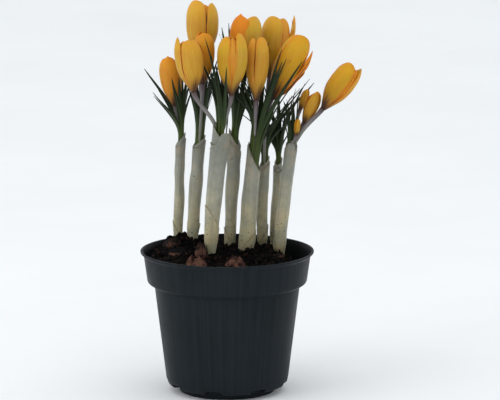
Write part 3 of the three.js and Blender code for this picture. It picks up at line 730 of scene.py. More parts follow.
# A shoot: where it leaves the peat, its mouth and its radius at both; the side its lip is on
# (degrees) and how deep its mouth is cut; how many leaves the solids have, how far they lean to
# both sides and to the back (degrees), and how long they are.
SHOOTS = [
    dict(foot=(-34.5, 35, 101), mouth=(-32.3, 33, 176), radius=(3.5, 3.4), lip=0, drop=9,
         count=6, lean=(-34, 12), depth=14, length=(52, 62)),
    dict(foot=(-24.2, 28, 102.5), mouth=(-19, 28, 175), radius=(4.2, 4.2), lip=10, drop=8,
         count=7, lean=(-14, 17), depth=12, length=(50, 66)),
    dict(foot=(-11.8, 0, 97), mouth=(-3.5, -3, 186), radius=(4.3, 5.6), lip=110, drop=7,
         count=8, lean=(-20, 10), depth=12, length=(42, 66)),
    dict(foot=(1.7, 26, 97.5), mouth=(5.5, 21, 178), radius=(4.1, 3.8), lip=170, drop=8,
         count=7, lean=(-10, 24), depth=12, length=(48, 76)),
    dict(foot=(13, 14, 96), mouth=(19.6, 11, 172), radius=(5.8, 5.2), lip=170, drop=19,
         count=9, lean=(-24, 26), depth=14, length=(62, 84)),
    dict(foot=(24, 34, 96), mouth=(26.1, 33, 159), radius=(3.8, 3.7), lip=20, drop=7,
         count=5, lean=(-16, 36), depth=12, length=(50, 70)),
    dict(foot=(33, 37, 94), mouth=(35.8, 40, 157), radius=(3.4, 3.0), lip=60, drop=5,
         count=6, lean=(-36, 22), depth=12, length=(46, 58)),
    dict(foot=(36.5, 20, 93), mouth=(44.8, 20, 171), radius=(4.3, 4.3), lip=60, drop=4,
         count=9, lean=(-16, 14), depth=16, length=(34, 48)),
]


def flower(shoot, base, tip, radius, turn, opened=0.0, bud=False):
    """A flower: its shoot, both ends, radius, where its first petal faces, how far it is open."""
    return dict(shoot=shoot, base=base, tip=tip, radius=radius, turn=turn, opened=opened, bud=bud)


BLOOMS = [
    flower(0, (-36.3, 32, 195.2), (-41.5, 31, 229.3), 6.4, 278, 0.15),
    flower(2, (-22.8, -8, 211), (-27.5, -11, 248.7), 8.6, 190, 0.5),
    flower(1, (-18, 28, 226.8), (-16.7, 28, 268.9), 10, 225, 0.3),
    flower(1, (-16.8, 10.5, 213.8), (-15, 10.5, 249.4), 6.2, 290, 0.1),
    flower(2, (3, -8, 209), (4.2, -9, 250.5), 9.2, 212, 0.25),
    flower(3, (11.5, 24, 215.3), (13.5, 25, 258.2), 10, 213, 0.4),
    flower(4, (20, 5, 203.4), (21.5, 4, 246.7), 6.8, 193, 0.05),
    flower(5, (29.6, 38, 213.7), (36, 39, 256), 9.8, 262, 0.4),
    flower(5, (31, 17, 202.1), (52.5, 15, 246.7), 8.6, 280, 0.3),
    flower(7, (66.3, 16, 195.3), (88.6, 15, 226.2), 7.8, 240, 0.2),
    flower(7, (53.2, 21.5, 184.5), (63, 21.5, 205.7), 4.6, 260, bud=True),
    flower(7, (50.8, 33, 192.2), (55.8, 34, 205.8), 2.7, 20, bud=True),
    flower(7, (47.8, 14.5, 177.2), (49, 14, 187.9), 2.1, 60, bud=True),
]
print(len(SHOOTS), "shoots,", len(BLOOMS), "flowers")

# %% Curves
X, UP = vec(1, 0, 0), vec(0, 0, 1)


def bezier(root, leave, tip, arrive):
    """A curve that leaves its root along one direction and reaches its tip along another."""
    a, b, c, d = root, root + leave, tip - arrive, tip
    return lambda t: ((1 - t) ** 3 * a + 3 * (1 - t) ** 2 * t * b
                      + 3 * (1 - t) * t * t * c + t ** 3 * d)


def line(a, b):
    return lambda t: a + (b - a) * t


def heading(curve, t):
    low, high = max(0.0, t - 1e-4), min(1.0, t + 1e-4)
    return unit(curve(high) - curve(low))


def across(tangent, hint=X):
    """Two directions square to a tangent."""
    side = unit(hint - hint @ tangent * tangent)
    return side, np.cross(tangent, side)


def sheath_curve(shoot, sink):
    foot, mouth = vec(*shoot["foot"]), vec(*shoot["mouth"])
    rise = unit(mouth - foot)
    root = foot - sink * rise
    reach = (mouth[2] - root[2]) * 0.33
    return bezier(root, mix(rise, UP, 0.35) * reach, mouth, mix(rise, UP, -0.25) * reach)


def sheath_radius(shoot, t):
    return mix(*shoot["radius"], smooth(0.05, 1, t))


def mouth_frame(shoot):
    curve = sheath_curve(shoot, SHEATH_SINK)
    return curve(1.0), heading(curve, 1.0)


def bloom_frame(bloom):
    base, tip = vec(*bloom["base"]), vec(*bloom["tip"])
    axis = unit(tip - base)
    return base, axis, length_of(tip - base), *across(axis)


print("sheath 1 leans", np.round(mouth_frame(SHOOTS[0])[1], 3))

# %% Tubes that carry the flowers
TUBE_ROOT_R = 0.7


def tube_seat(index):
    """Where a tube stands in its mouth: alone in the middle, or in a small ring."""
    shoot = SHOOTS[BLOOMS[index]["shoot"]]
    at, up = mouth_frame(shoot)
    u, v = across(up)
    seat = at - up * (shoot["drop"] + SOCKET_DEPTH - 2 * GAP)
    mates = [i for i, bloom in enumerate(BLOOMS) if bloom["shoot"] == BLOOMS[index]["shoot"]]
    if len(mates) == 1:
        return seat, up
    middle = sum(vec(*BLOOMS[i]["base"]) for i in mates) / len(mates)

    def angle_of(i):
        away = vec(*BLOOMS[i]["base"]) - middle
        return math.atan2(away @ v, away @ u)

    mates.sort(key=angle_of)
    angle = angle_of(mates[0]) + 2 * math.pi * mates.index(index) / len(mates)
    ring = (TUBE_ROOT_R + 0.25) / math.sin(math.pi / len(mates))
    return seat + ring * around(u, v, angle), up


def tube_curve(index):
    base, axis, *_ = bloom_frame(BLOOMS[index])
    seat, up = tube_seat(index)
    end = base - GAP * axis
    reach = length_of(end - seat)
    return bezier(seat, up * min(reach * 0.6, SOCKET_DEPTH + 12), end, axis * reach * 0.25)


def tube_radius(bloom, t):
    top = min(1.4, bloom["radius"] * 0.6) if bloom["bud"] else 1.75
    return mix(TUBE_ROOT_R, top, smooth(0.45, 1, t))


TUBES = [tube_curve(i) for i in range(len(BLOOMS))]
print("tube 3 starts at", np.round(TUBES[2](0.0), 1), "and ends at", np.round(TUBES[2](1.0), 1))

# %% [markdown]
# ## The sheaths
# Each shoot is wrapped in papery scales that the plant rolled round itself one after another.
# So a sheath here is a stack of rolled sheets. Each sheet starts under its own far edge and ends
# on top of it, and its free edge runs slanting up the front, where the real ones show a fine
# ochre line. The upper rims are cut slanting or rounded, and small folds run along the skin.

# %% One rolled scale
LAYER, SCALE_SKIN, SCALE_COLUMNS, SCALE_CUTS = 0.28, 0.22, 56, 400
# How far each scale laps over itself, as a share of a whole turn.
SCALE_LAP = 1.09
# Scales, by sheath and number, whose rim stands up as one rounded lobe, and the share of its
# height at which a sheath is pleated.
LOBED = {(2, 1), (7, 1)}
PLEATS = {2: 0.845, 3: 0.8}
# Sheaths that swell towards the top, where two stand against each other (mm).
PLUMP = {2: 0.8, 3: 0.9}
# Painted shade on each sheath: those at the back are painted darker and greyer.
SHEATH_SHADE = [0.2, 0.6, 0.2, 0.75, 0.35, 0.5, 0.6, 0.2]


def scale_sheet(bm, index, curve, low, high, seam, twist, slant, lip, level, rag, seed, lobed):
    """A scale rolled once round: from share low to share high of the sheath's height."""
    shoot = SHOOTS[index]
    steps = max(10, int((high - low) * 70))
    table = [(curve(t), *across(heading(curve, t)), sheath_radius(shoot, t))
             for t in (low + (high - low) * k / SCALE_CUTS for k in range(SCALE_CUTS + 1))]
    long = shoot["mouth"][2] - shoot["foot"][2] + SHEATH_SINK
    soil = SHEATH_SINK / long
    free = 1 - (shoot["drop"] + SOCKET_DEPTH + 3) / long
    lip_angle = math.radians(lip)
    pleated = PLEATS.get(index, -1)

    def place(s, t):
        angle = math.radians(seam) + math.radians(twist) * t + s * math.pi * SCALE_LAP
        rim = 0.5 * (1 - math.cos(angle - lip_angle))
        rim = slant * (smooth(0.0, 0.26, rim) if lobed else rim)
        torn = rag * noise.noise(Vector((2.1 * math.cos(angle), 2.1 * math.sin(angle), seed)))
        share = t * (1 - (rim + abs(torn)) / ((high - low) * long))
        middle, u, v, r = table[int(SCALE_CUTS * max(0.0, share))]
        up = low + (high - low) * share
        ring = Vector((math.cos(angle), math.sin(angle), 0))
        # The whole sheath swells, bends and flattens slowly as it climbs.
        body = smooth(soil, soil + 0.1, up) * smooth(free, free - 0.14, up)
        swell = noise.noise(Vector((4.2 * up, 7.0 * index, 2))) * 0.62
        swell += 0.9 * noise.noise(ring * 0.75 + Vector((0, 7.0 * index, 3.4 * up)))
        narrow = 0.62 * smooth(soil + 0.12, soil - 0.02, up)
        fold = noise.noise(ring * 2.6 + Vector((0, 0, seed + 2.2 * t)))
        fine = noise.noise(ring * 9 + Vector((0, 0, seed + 0.9 * t)))
        crinkle = noise.noise(ring * 3.1 + Vector((seed, 0, 19 * up))) * smooth(0.5, 0.9, up)
        loose = 0.25 * smooth(0.86, 1.0, t) * (1 + noise.noise(Vector((angle, seed, 5))))
        out = r - 0.15 + LAYER * (level + 0.5 + 0.5 * s) + 0.14 * fold + 0.06 * fine + loose
        out += swell * body - narrow + 0.22 * crinkle * body
        out += PLUMP.get(index, 0.0) * smooth(0.3, 0.6, up)
        crease = noise.noise(ring * 2.2 + Vector((0, 0, 150 * up + seed)))
        out += 1.3 * crease * math.exp(-(((up - pleated) / 0.03) ** 2))
        ochre = max(smooth(0.93, 1.0, abs(s)), smooth(0.97, 1.0, t)) * (1 if level > 0 else 0.3)
        spot = middle + out * (ring[0] * u + ring[1] * v)
        return spot[0], spot[1], spot[2], ochre

    # Painted shade: the innermost scale is darkened more than the others.
    painted_shade = SHEATH_SHADE[index] + (0.5 if level < 0 else 0)
    sheet(bm, SCALE_COLUMNS, steps, place, thick=SCALE_SKIN, tone=painted_shade)


# %% Scales of each shoot
# For each shoot, from the inside out: low and high share, seam and its twist (degrees), slant of
# the rim (mm), side its lip is on (degrees), level in the stack and how ragged the rim is (mm).
SCALES = [
    [(0.55, 1.0, 130, 30, 9, 0, -1.6, 0.8), (0, 0.95, 280, -30, 6, 20, 0, 0.6),
     (0, 0.27, 250, 30, 15, 175, 1, 0.4)],
    [(0.5, 1.0, 280, 10, 8, 10, -1.6, 0.8), (0, 0.96, 262, 20, 6, 30, 0, 0.6),
     (0, 0.25, 290, -30, 19, 15, 1, 0.4)],
    [(0.5, 1.02, 260, 15, 15, 165, -1.6, 0.7), (0, 0.965, 282, 8, 9, 300, 0, 0.3),
     (0, 0.45, 262, -30, 17, 195, 1, 0.4)],
    [(0.5, 1.03, 250, 20, 13, 165, -1.6, 0.8), (0, 0.94, 275, 12, 8, 190, 0, 0.6),
     (0, 0.26, 262, -35, 18, 178, 1, 0.4)],
    [(0.4, 1.0, 270, -20, 19, 170, -1.6, 0.5), (0, 0.98, 285, -16, 18, 170, 0, 0.5),
     (0, 0.3, 265, 40, 17, 0, 1, 0.4)],
    [(0.5, 1.0, 270, 20, 7, 20, -1.6, 0.8), (0, 0.95, 255, 30, 6, 20, 0, 0.8),
     (0, 0.34, 280, -30, 14, 20, 1, 0.4)],
    [(0.5, 1.0, 260, 10, 5, 60, -1.6, 0.8), (0, 0.94, 275, -25, 6, 90, 0, 0.6),
     (0, 0.3, 265, -20, 12, 30, 1, 0.4)],
    [(0.5, 1.02, 280, 10, 9, 90, -1.6, 0.8), (0, 1.0, 262, 14, 5, 262, 0, 0.4),
     (0, 0.33, 275, -20, 26, 140, 1, 0.4)],
]


def sheath_mesh(index):
    bm, curve = start(), sheath_curve(SHOOTS[index], SHEATH_SINK)
    for k, scale in enumerate(SCALES[index]):
        scale_sheet(bm, index, curve, *scale, 3.1 * index + 1.7 * k, (index, k) in LOBED)
    return bm


# %% Papery finish
def papery_finish():
    material, tree, shader, place, along = finish(
        "papery_scale", 0.42, 0.34, glow=(0.16, (1.0, 0.8, 0.45), 0.0015))
    height = node(tree, "SeparateXYZ", {0: place}).outputs[2]
    bands = effect(tree, STREAKS, along, Across=9.0, Along=0.6)
    ribs = effect(tree, STREAKS, along, Across=34.0, Along=1.2)
    fine = effect(tree, STREAKS, along, Across=110.0, Along=3.0)
    cloud = effect(tree, MOTTLE, place, Size=70.0)
    small = effect(tree, MOTTLE, place, Size=240.0)
    # The pale foot of this ramp is partly the sheaths' own cream and partly painted light, raised
    # to make up for the shade the pot's rim casts there.
    base = ramp(tree, between(tree, height, 0.095, 0.19), [
        (0.0, rgb(236, 222, 160)), (0.16, rgb(226, 214, 168)), (0.4, rgb(204, 198, 168)),
        (0.7, rgb(164, 164, 148)), (0.88, rgb(126, 128, 117)), (1.0, rgb(102, 107, 94))])
    # From the ground colour outwards: painted shade on the back ones and the innermost scales,
    # bands, ribs, fine threads, grey clouds, a blush, wear, the ochre rim, the stained foot, brown
    # spots and specks of peat.
    soil = calc(tree, "MULTIPLY", between(tree, height, 0.112, 0.094), cloud)
    spots = effect(tree, SPECKS, place, Size=170.0, Reach=0.16, Share=0.16)
    dirt = effect(tree, SPECKS, place, Size=430.0, Reach=0.3, Share=0.4)
    dirt = calc(tree, "MULTIPLY", dirt, between(tree, height, 0.13, 0.1))
    for mask, share, colour in (
            (attribute(tree, "tone"), 0.4, (112, 110, 92)), (bands, 0.55, (126, 125, 104)),
            (ribs, 0.22, (140, 132, 98)), (fine, 0.2, (184, 184, 172)),
            (between(tree, cloud, 0.8, 0.1), 0.45, (136, 138, 132)),
            (between(tree, cloud, 0.5, 1.0), 0.28, (192, 158, 134)),
            (between(tree, small, 0.45, 1.0), 0.22, (116, 116, 94)),
            (attribute(tree, "tint"), 0.75, (124, 98, 46)), (soil, 0.8, (84, 62, 38)),
            (spots, 0.8, (60, 48, 34)), (dirt, 0.9, (20, 16, 14))):
        base = wash(tree, base, mask, share, *colour)
    relief = calc(tree, "ADD", ribs, calc(tree, "MULTIPLY", small, 0.8))
    paint(tree, shader, base, relief, 0.00018)
    return material


PAPERY = papery_finish()
for index in range(len(SHOOTS)):
    piece(sheath_mesh(index), f"scales_{index + 1}", [PAPERY], "sheath", f"sheath_{index + 1}")

# %% [markdown]
# ## Tubes under the flowers
# A crocus has no stem above ground: the flower stands on its own long pale tube, which widens
# into the petals. Each is a rod along its curve, whitish with a lilac cast and fine streaks.

# %% Flower tubes
# The least radius of a tube above the mouth, and that of the thicker and thinner ones (mm).
TUBE_LEAST = 1.0
LEAST = {1: 1.4, 9: 1.6, 4: 1.2, 6: 1.2, 10: 0.9, 11: 0.7, 12: 0.6}
TUBE_SIDES, TUBE_ROWS, TUBE_RIBS = 18, 26, 6


def rod(bm, curve, radius_at, sides, rows, tint=0.0, tone=0.5):
    """A rolled sheet along a curve; radius_at(t, angle) gives its radius."""
    def place(s, t):
        side, out = across(heading(curve, t))
        angle = math.pi * s
        return curve(t) + radius_at(t, angle) * around(side, out, angle)

    sheet(bm, sides, rows, place, tint=tint, tone=tone, roll=True)


def tube_mesh(index):
    bm, bloom = start(), BLOOMS[index]

    def radius_at(t, angle):
        ribs = 1 + 0.05 * math.cos(TUBE_RIBS * angle) * smooth(0.5, 1.0, t)
        least = LEAST.get(index, TUBE_LEAST) * smooth(0.05, 0.3, t)
        return max(tube_radius(bloom, t), least) * ribs

    rod(bm, TUBES[index], radius_at, TUBE_SIDES, TUBE_ROWS)
    return bm


def tube_finish():
    material, tree, shader, _, along = finish(
        "flower_tube", 0.45, 0.2, glow=(0.15, (0.9, 0.8, 0.8), 0.0012))
    up = node(tree, "SeparateXYZ", {0: along}).outputs[1]
    ribs = effect(tree, STREAKS, along, Across=9.0, Along=1.2)
    base = ramp(tree, up, [(0.0, rgb(134, 136, 112)), (0.5, rgb(138, 136, 130)),
                           (0.85, rgb(120, 112, 112)), (1.0, rgb(84, 62, 56))])
    base = wash(tree, base, ribs, 0.6, 84, 74, 82)
    paint(tree, shader, base, ribs, 0.0001)
    return material


TUBE = tube_finish()
for index in range(len(BLOOMS)):
    piece(tube_mesh(index), f"stalk_{index + 1}", [TUBE], "tube", f"tube_{index + 1}")

# %% [markdown]
# ## Where the leaves run
# The leaves were grown by a rule: each is drawn with a seeded lean, and takes the first bend that
# keeps clear of all that stands already. The same rule runs again here, with the same draws, so
# that each fine blade lies on its solid. Thinner blades are then grown in the gaps that are left, a
# few are listed one by one where they reach far, and the last ones fill the sheaths' mouths.

# %% Lines that leaves keep clear of
LEAF_TRIES, LEAF_CLEAR, LEAF_STEPS = 160, 0.35, 6
# How thick the solids' petals are, and how far their two rings stand from the cup (mm).
PETAL_THICK, PETAL_LAYER = 0.7, 0.85
LEAF_SEED, THIN_SEED, FILL_SEED = 200, 300, 700
# The height, as a share of the flower's, at which its cup is widest.
WIDEST = 0.6


def cup_radius(bloom, t):
    """Radius of a flower's cup at a height t."""
    root = min(1.5, bloom["radius"] * 0.6) if bloom["bud"] else 1.9
    if t <= WIDEST:
        return root + (bloom["radius"] - root) * math.sin(math.pi * t / WIDEST / 2) ** 1.1
    closing = 0.25 if bloom["bud"] else mix(0.42, 1.05, bloom["opened"])
    s = (t - WIDEST) / (1 - WIDEST)
    return bloom["radius"] * mix(1, closing, s * s)


def chain(curve, radius_at, low, high, steps, shoot, sheath=False):
    """Short thick lines along a curve: start, end, radius, owner, whether it is a sheath.

    The owner is a shoot's number, -1 for a flower's cup or -2 for its tube."""
    cuts = [mix(low, high, k / steps) for k in range(steps + 1)]
    return [(curve(a), curve(b), max(radius_at(a), radius_at(b)), shoot, sheath)
            for a, b in zip(cuts, cuts[1:])]


def standing_lines():
    lines = []
    for i, shoot in enumerate(SHOOTS):
        lines += chain(sheath_curve(shoot, 0), lambda t: sheath_radius(shoot, t) + 0.5,
                       0, 1, 5, i, True)
    for i, bloom in enumerate(BLOOMS):
        cup = lambda t: cup_radius(bloom, t) + PETAL_LAYER + PETAL_THICK / 2 + 0.2
        lines += chain(line(vec(*bloom["base"]), vec(*bloom["tip"])), cup, 0, 1, 8, -1)
        lines += chain(TUBES[i], lambda t: tube_radius(bloom, t), 0, 1, 8, -2)
    return lines


def gaps(p, q, a, b):
    """Distances from the line p-q to many lines a-b."""
    d1, d2, r = q - p, b - a, p - a
    aa, ee, f = d1 @ d1, (d2 * d2).sum(1), (d2 * r).sum(1)
    c, bb = r @ d1, d2 @ d1
    denom = aa * ee - bb * bb
    safe = np.where(denom > 1e-9, denom, 1.0)
    s = np.where(denom > 1e-9, np.clip((bb * f - c * ee) / safe, 0, 1), 0.0)
    t = (bb * s + f) / ee
    outside = (t < 0) | (t > 1)
    t = np.clip(t, 0, 1)
    s = np.where(outside, np.clip((bb * t - c) / aa, 0, 1), s)
    apart = p + s[:, None] * d1 - (a + t[:, None] * d2)
    return np.sqrt((apart * apart).sum(1))


STANDING = standing_lines()
print(len(STANDING), "lines stand before the first leaf")


# %% One leaf's curve
def leaf_half(leaf, t):
    return (leaf["half"] * mix(0.5, 1, smooth(0.12, 0.4, t))
            * min(1.0, mix(0.16, 1, (1 - t) / 0.5)))


def leaf_curve(shoot, leaf):
    """Straight up out of the socket, then bowing out over the rim."""
    at, up = mouth_frame(shoot)
    u, v = across(up)
    ring = (shoot["radius"][1] - SHEATH_SKIN - GAP - 0.5) * leaf["ring"]
    foot = at + ring * around(u, v, leaf["place"])
    root = foot + up * (GAP + 1.5 - shoot["drop"] - SOCKET_DEPTH)
    leave = foot + up * (shoot["drop"] / 2) * math.cos(leaf["place"] - math.radians(shoot["lip"]))
    lean_x, lean_y = math.radians(leaf["lean_x"]), math.radians(leaf["lean_y"])
    aim = unit(vec(math.sin(lean_x), math.sin(lean_y), math.cos(lean_x) * math.cos(lean_y)))
    arrive = unit(vec(math.sin(lean_x * leaf["bow"]), math.sin(lean_y * leaf["bow"]), 1))
    inside = line(root, leave)
    bow = bezier(leave, up * leaf["length"] * 0.34, at + aim * leaf["length"],
                 arrive * leaf["length"] * 0.3)
    share = 1 / LEAF_STEPS
    return lambda t: inside(t / share) if t < share else bow((t - share) / (1 - share))


def draw_leaf(shoot, n, attempt, draw, thin=False):
    count = shoot["count"]
    wander = 2 + attempt * 0.1

    def stray():
        return mix(-wander, wander, draw())

    place = 2 * math.pi * (n + 0.3) / count + math.radians(stray() * 3.5)
    half = mix(1.25, 1.7, draw())
    lean_x = mix(*shoot["lean"], 0.5 + 0.5 * math.cos(place)) + stray()
    lean_y = shoot["depth"] * math.sin(place) + stray()
    length = mix(*shoot["length"], draw()) * (1 - attempt * 0.0025)
    leaf = dict(place=place, half=half, lean_x=lean_x, lean_y=lean_y, length=length,
                bow=mix(1.05, 1.6, draw()), ring=1.0)
    if thin:
        leaf.update(half=half * mix(0.5, 0.72, draw()), ring=0.55, lean_x=lean_x * 0.8,
                    lean_y=lean_y * 0.8, length=length * mix(0.62, 0.98, draw()))
    return leaf


# %% Grow the leaves
# A filling leaf may come as near to a flower's tube as this share of the clear distance.
TUBE_SHARE = 0.45
THIN_LEAVES, THIN_TRIES, THIN_CLEAR = [3, 6, 7, 6, 7, 4, 4, 6], 60, 0.15


def clears(lines, mine, shoot_index, close, own=False):
    """Whether a leaf's lines clear all others; with own, it may touch its own whorl."""
    a, b = np.array([row[0] for row in lines]), np.array([row[1] for row in lines])
    thick, owner, sheath = (np.array([row[k] for row in lines]) for k in (2, 3, 4))
    for k, (p, q, radius, _, _) in enumerate(mine):
        passed = (owner == shoot_index) & (sheath | (k < 3) | own)
        apart = radius + thick + (GAP if k < 3 else close)
        near = gaps(p, q, a, b) <= np.where((owner == -2) & own, TUBE_SHARE * apart, apart)
        if (near & ~passed).any():
            return False
    return True


def grow(lines, grown, i, draw, count, thin, tries, close):
    """Adds leaves to shoot i, each with the first bend that clears."""
    for n in range(count):
        for attempt in range(tries):
            leaf = draw_leaf(SHOOTS[i], n + (0.5 if thin else 0), attempt, draw, thin)
            curve = leaf_curve(SHOOTS[i], leaf)
            girth = lambda t: mix(0.4, leaf_half(leaf, t) * 0.7, smooth(0.1, 0.45, t))
            mine = chain(curve, girth, 0.05, 1, 10, i)
            if clears(lines, mine, i, close):
                lines += mine
                grown[i].append((leaf, curve))
                break


LEAVES = [[] for _ in SHOOTS]
for i, shoot in enumerate(SHOOTS):
    grow(STANDING, LEAVES, i, drawer(i + LEAF_SEED), shoot["count"], False, LEAF_TRIES,
         LEAF_CLEAR)
print("leaves on the solids:", [len(leaves) for leaves in LEAVES])
for i, leaves in enumerate(LEAVES):
    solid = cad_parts[f"leaves_{i + 1}"].data.vertices
    points = np.array([vert.co for vert in solid]) / MM
    off = [min(np.sqrt(((points - curve(1.0)) ** 2).sum(1))) for _, curve in leaves]
    print("  furthest tip of whorl", i + 1, "from its solid:", round(float(max(off)), 2), "mm")
for i, count in enumerate(THIN_LEAVES):
    grow(STANDING, LEAVES, i, drawer(i + THIN_SEED), count, True, THIN_TRIES, THIN_CLEAR)
print("with the thin ones:", [len(leaves) for leaves in LEAVES])


# %% Leaves that fill the mouths, and a few that reach far
# How many leaves fill each mouth, how often one is drawn, and how close it may come (mm).
FILLING, FILL_TRIES, FILL_CLEAR = [5, 18, 16, 14, 14, 9, 7, 8], 40, 0.1
# Leaves that reach far: shoot, side they stand on, leans to the right and to the back (degrees),
# length and half width. Each tries a few more leans to the back, until it clears.
FAR_LEAVES = [(4, 300, 27, -16, 70, 1.5), (4, 330, 31, -13, 72, 1.3), (2, 290, 4, -21, 50, 1.2),
              (3, 170, -7.2, 2, 73, 1.9), (3, 150, -3.5, 18, 76.5, 1.9),
              (1, 250, -5, -5, 47, 2.1), (1, 288, 2, -5, 44, 2.1)]
FAR_SAGS = (0, 3, -3, 6, -6, 9, -9, 12)


def stand(i, leaf, share=0.7):
    """Adds one leaf where it clears all but its own whorl, and says whether it stands."""
    curve = leaf_curve(SHOOTS[i], leaf)
    girth = lambda t: mix(0.35, leaf_half(leaf, t) * share, smooth(0.1, 0.45, t))
    mine = chain(curve, girth, 0.05, 1, 10, i)
    fits = clears(STANDING, mine, i, FILL_CLEAR, own=True)
    if fits:
        STANDING.extend(mine)
        LEAVES[i].append((leaf, curve))
    return fits


def fill(i, draw, count):
    """Close leaves at the front of a mouth, which may press against their own whorl."""
    shoot = SHOOTS[i]
    for n in range(count):
        for _ in range(FILL_TRIES):
            place = math.radians(mix(150, 390, (n + draw()) / count))
            lean = mix(*shoot["lean"], 0.5 + 0.5 * math.cos(place) + mix(-0.2, 0.2, draw()))
            leaf = dict(place=place, half=mix(1.1, 1.7, draw()), lean_x=lean * 0.9,
                        lean_y=shoot["depth"] * math.sin(place) * mix(0.5, 1.3, draw()),
                        length=mix(*shoot["length"], draw()) * mix(0.5, 0.98, draw()),
                        bow=mix(1.05, 1.5, draw()), ring=mix(0.75, 1.0, draw()))
            if stand(i, leaf, 0.35):
                break


for i, side, lean_x, lean_y, long, half in FAR_LEAVES:
    leaf = dict(place=math.radians(side), half=half, lean_x=lean_x, length=long, bow=1.25,
                ring=0.95, turned=80 if i == 3 else 0)
    done = any(stand(i, dict(leaf, lean_y=lean_y + sag)) for sag in FAR_SAGS)
    print("far leaf of whorl", i + 1, "stands" if done else "finds no room")
for i, count in enumerate(FILLING):
    fill(i, drawer(i + FILL_SEED), count)
print("with the filling ones:", [len(leaves) for leaves in LEAVES])

# %% [markdown]
# ## Leaf blades
# A crocus leaf is a narrow channel with a keel beneath and a pale line down its middle. Each is
# a sheet of a few columns, bent to a shallow V, that tapers to a blunt tip and turns a little as
# it goes. A short plug at the foot of each whorl closes the sheath's mouth.

# %% Blade meshes
BLADE_COLUMNS, BLADE_CUTS, BLADE_SKIN, BLADE_SEED = 6, 34, 0.34, 400
PLUG_HEIGHT, PLUG_SIDES = 5, 16


def blade(bm, leaf, curve, draw):
    hint = vec(math.cos(leaf["place"]), math.sin(leaf["place"]), 0)
    turn, wave = math.radians(mix(-24, 24, draw()) + leaf.get("turned", 0)), 6 * draw()
    table = []
    for k in range(BLADE_CUTS + 1):
        t = k / BLADE_CUTS
        out, side = across(heading(curve, t), hint)
        a = turn * smooth(0.2, 1.0, t)
        table.append((curve(t), math.cos(a) * side + math.sin(a) * out,
                      math.cos(a) * out - math.sin(a) * side, leaf_half(leaf, t)))

    def place(s, t):
        middle, side, out, half = table[round(t * BLADE_CUTS)]
        half *= 1.12 if t < 0.97 else 0.7
        bow = 0.1 * half * math.sin(9 * t + wave)
        return middle + side * s * half + out * (0.32 - 0.62 * abs(s) ** 1.4 * half / 1.5 + bow)

    sheet(bm, BLADE_COLUMNS, BLADE_CUTS, place, thick=BLADE_SKIN, tint=draw(), tone=draw())


def leaves_mesh(i):
    bm, shoot, draw = start(), SHOOTS[i], drawer(i + BLADE_SEED)
    at, up = mouth_frame(shoot)
    u, v = across(up)
    low = at - up * (shoot["drop"] + SOCKET_DEPTH - GAP)
    plug = shoot["radius"][1] - SHEATH_SKIN - GAP

    def plug_place(s, t):
        return low + up * PLUG_HEIGHT * t + plug * around(u, v, math.pi * s)

    sheet(bm, PLUG_SIDES, 2, plug_place, roll=True, tint=0.2, tone=0.1)
    for leaf, curve in LEAVES[i]:
        blade(bm, leaf, curve, draw)
    return bm


# %% Leaf finish
def leaf_finish():
    material, tree, shader, _, along = finish("crocus_leaf", 0.5, 0.16)
    u, v = node(tree, "SeparateXYZ", {0: along}).outputs[:2]
    off = calc(tree, "ABSOLUTE", calc(tree, "SUBTRACT", u, 0.5))
    ribs = effect(tree, STREAKS, along, Across=14.0, Along=0.9)
    tint, tone = attribute(tree, "tint"), attribute(tree, "tone")
    base = ramp(tree, v, [(0.0, rgb(92, 104, 46)), (0.18, rgb(74, 88, 32)),
                          (0.34, rgb(46, 60, 26)), (0.75, rgb(30, 42, 24)), (1.0, rgb(32, 42, 28))])
    base = wash(tree, base, ribs, 0.5, 18, 28, 14)
    base = wash(tree, base, tone, 0.3, 50, 64, 34)
    base = wash(tree, base, between(tree, off, 0.09, 0.04), calc(tree, "MULTIPLY", tint, 0.75),
                84, 98, 70)
    paint(tree, shader, base, ribs, 0.00008)
    return material


LEAF = leaf_finish()
for i in range(len(SHOOTS)):
    piece(leaves_mesh(i), f"blades_{i + 1}", [LEAF], "leaf", f"leaves_{i + 1}")

# %% [markdown]
# ## The flowers
# Six petals stand in two rings of three, the outer ones wrapped over the inner. A petal is a
# sheet laid on the flower's cup: narrow at its foot, widest above the middle and rounded at the
# tip. Its rim rolls in, its middle is creased near the foot, and its edge wanders a little. In
# side light the narrow gaps between petals read as dark slits, so they are left open.

# %% Petal plan and petal surface
PETAL_SKIN, PETAL_COLUMNS, PETAL_ROWS, BUD_LAYER, DOME_POWER = 0.42, 16, 30, 0.1, 2.6
PLAN_SEED, PETAL_SEED = 90, 500
# How wide an inner petal is, against its flower's radius.
INNER_WIDE = 0.8


def dome_radius(bloom, t, top):
    """Radius on which the petals lie: the cup, domed over to a share of its width at the tips."""
    if t <= WIDEST:
        return cup_radius(bloom, t)
    s = (t - WIDEST) / (1 - WIDEST)
    return bloom["radius"] * math.sqrt(1 - (1 - top * top) * s ** DOME_POWER)


def petal_half(bloom, t, wide, foot):
    """Half a petal's width: at its foot the petals close up into a funnel."""
    if t <= WIDEST:
        return cup_radius(bloom, t) * mix(foot, wide, smooth(0.05, WIDEST, t))
    s = (t - WIDEST) / (1 - WIDEST)
    return bloom["radius"] * wide * math.sqrt(max(0.0, 1 - s ** DOME_POWER))


def petal_plan(index):
    bloom, draw = BLOOMS[index], drawer(index + PLAN_SEED)
    plan = []
    for k in range(6):
        outer = k % 2 == 0
        turn = math.radians(bloom["turn"] + 60 * k + mix(-5, 5, draw()))
        reach = (1 if outer else 0.95) + mix(-0.045, 0.02, draw())
        spread = 0 if bloom["bud"] else mix(0, 0.16, draw()) * bloom["opened"]
        layer = (1 if outer else -1) * (BUD_LAYER if bloom["bud"] else PETAL_LAYER)
        plan.append(dict(outer=outer, turn=turn, reach=reach, spread=spread, layer=layer))
    return plan


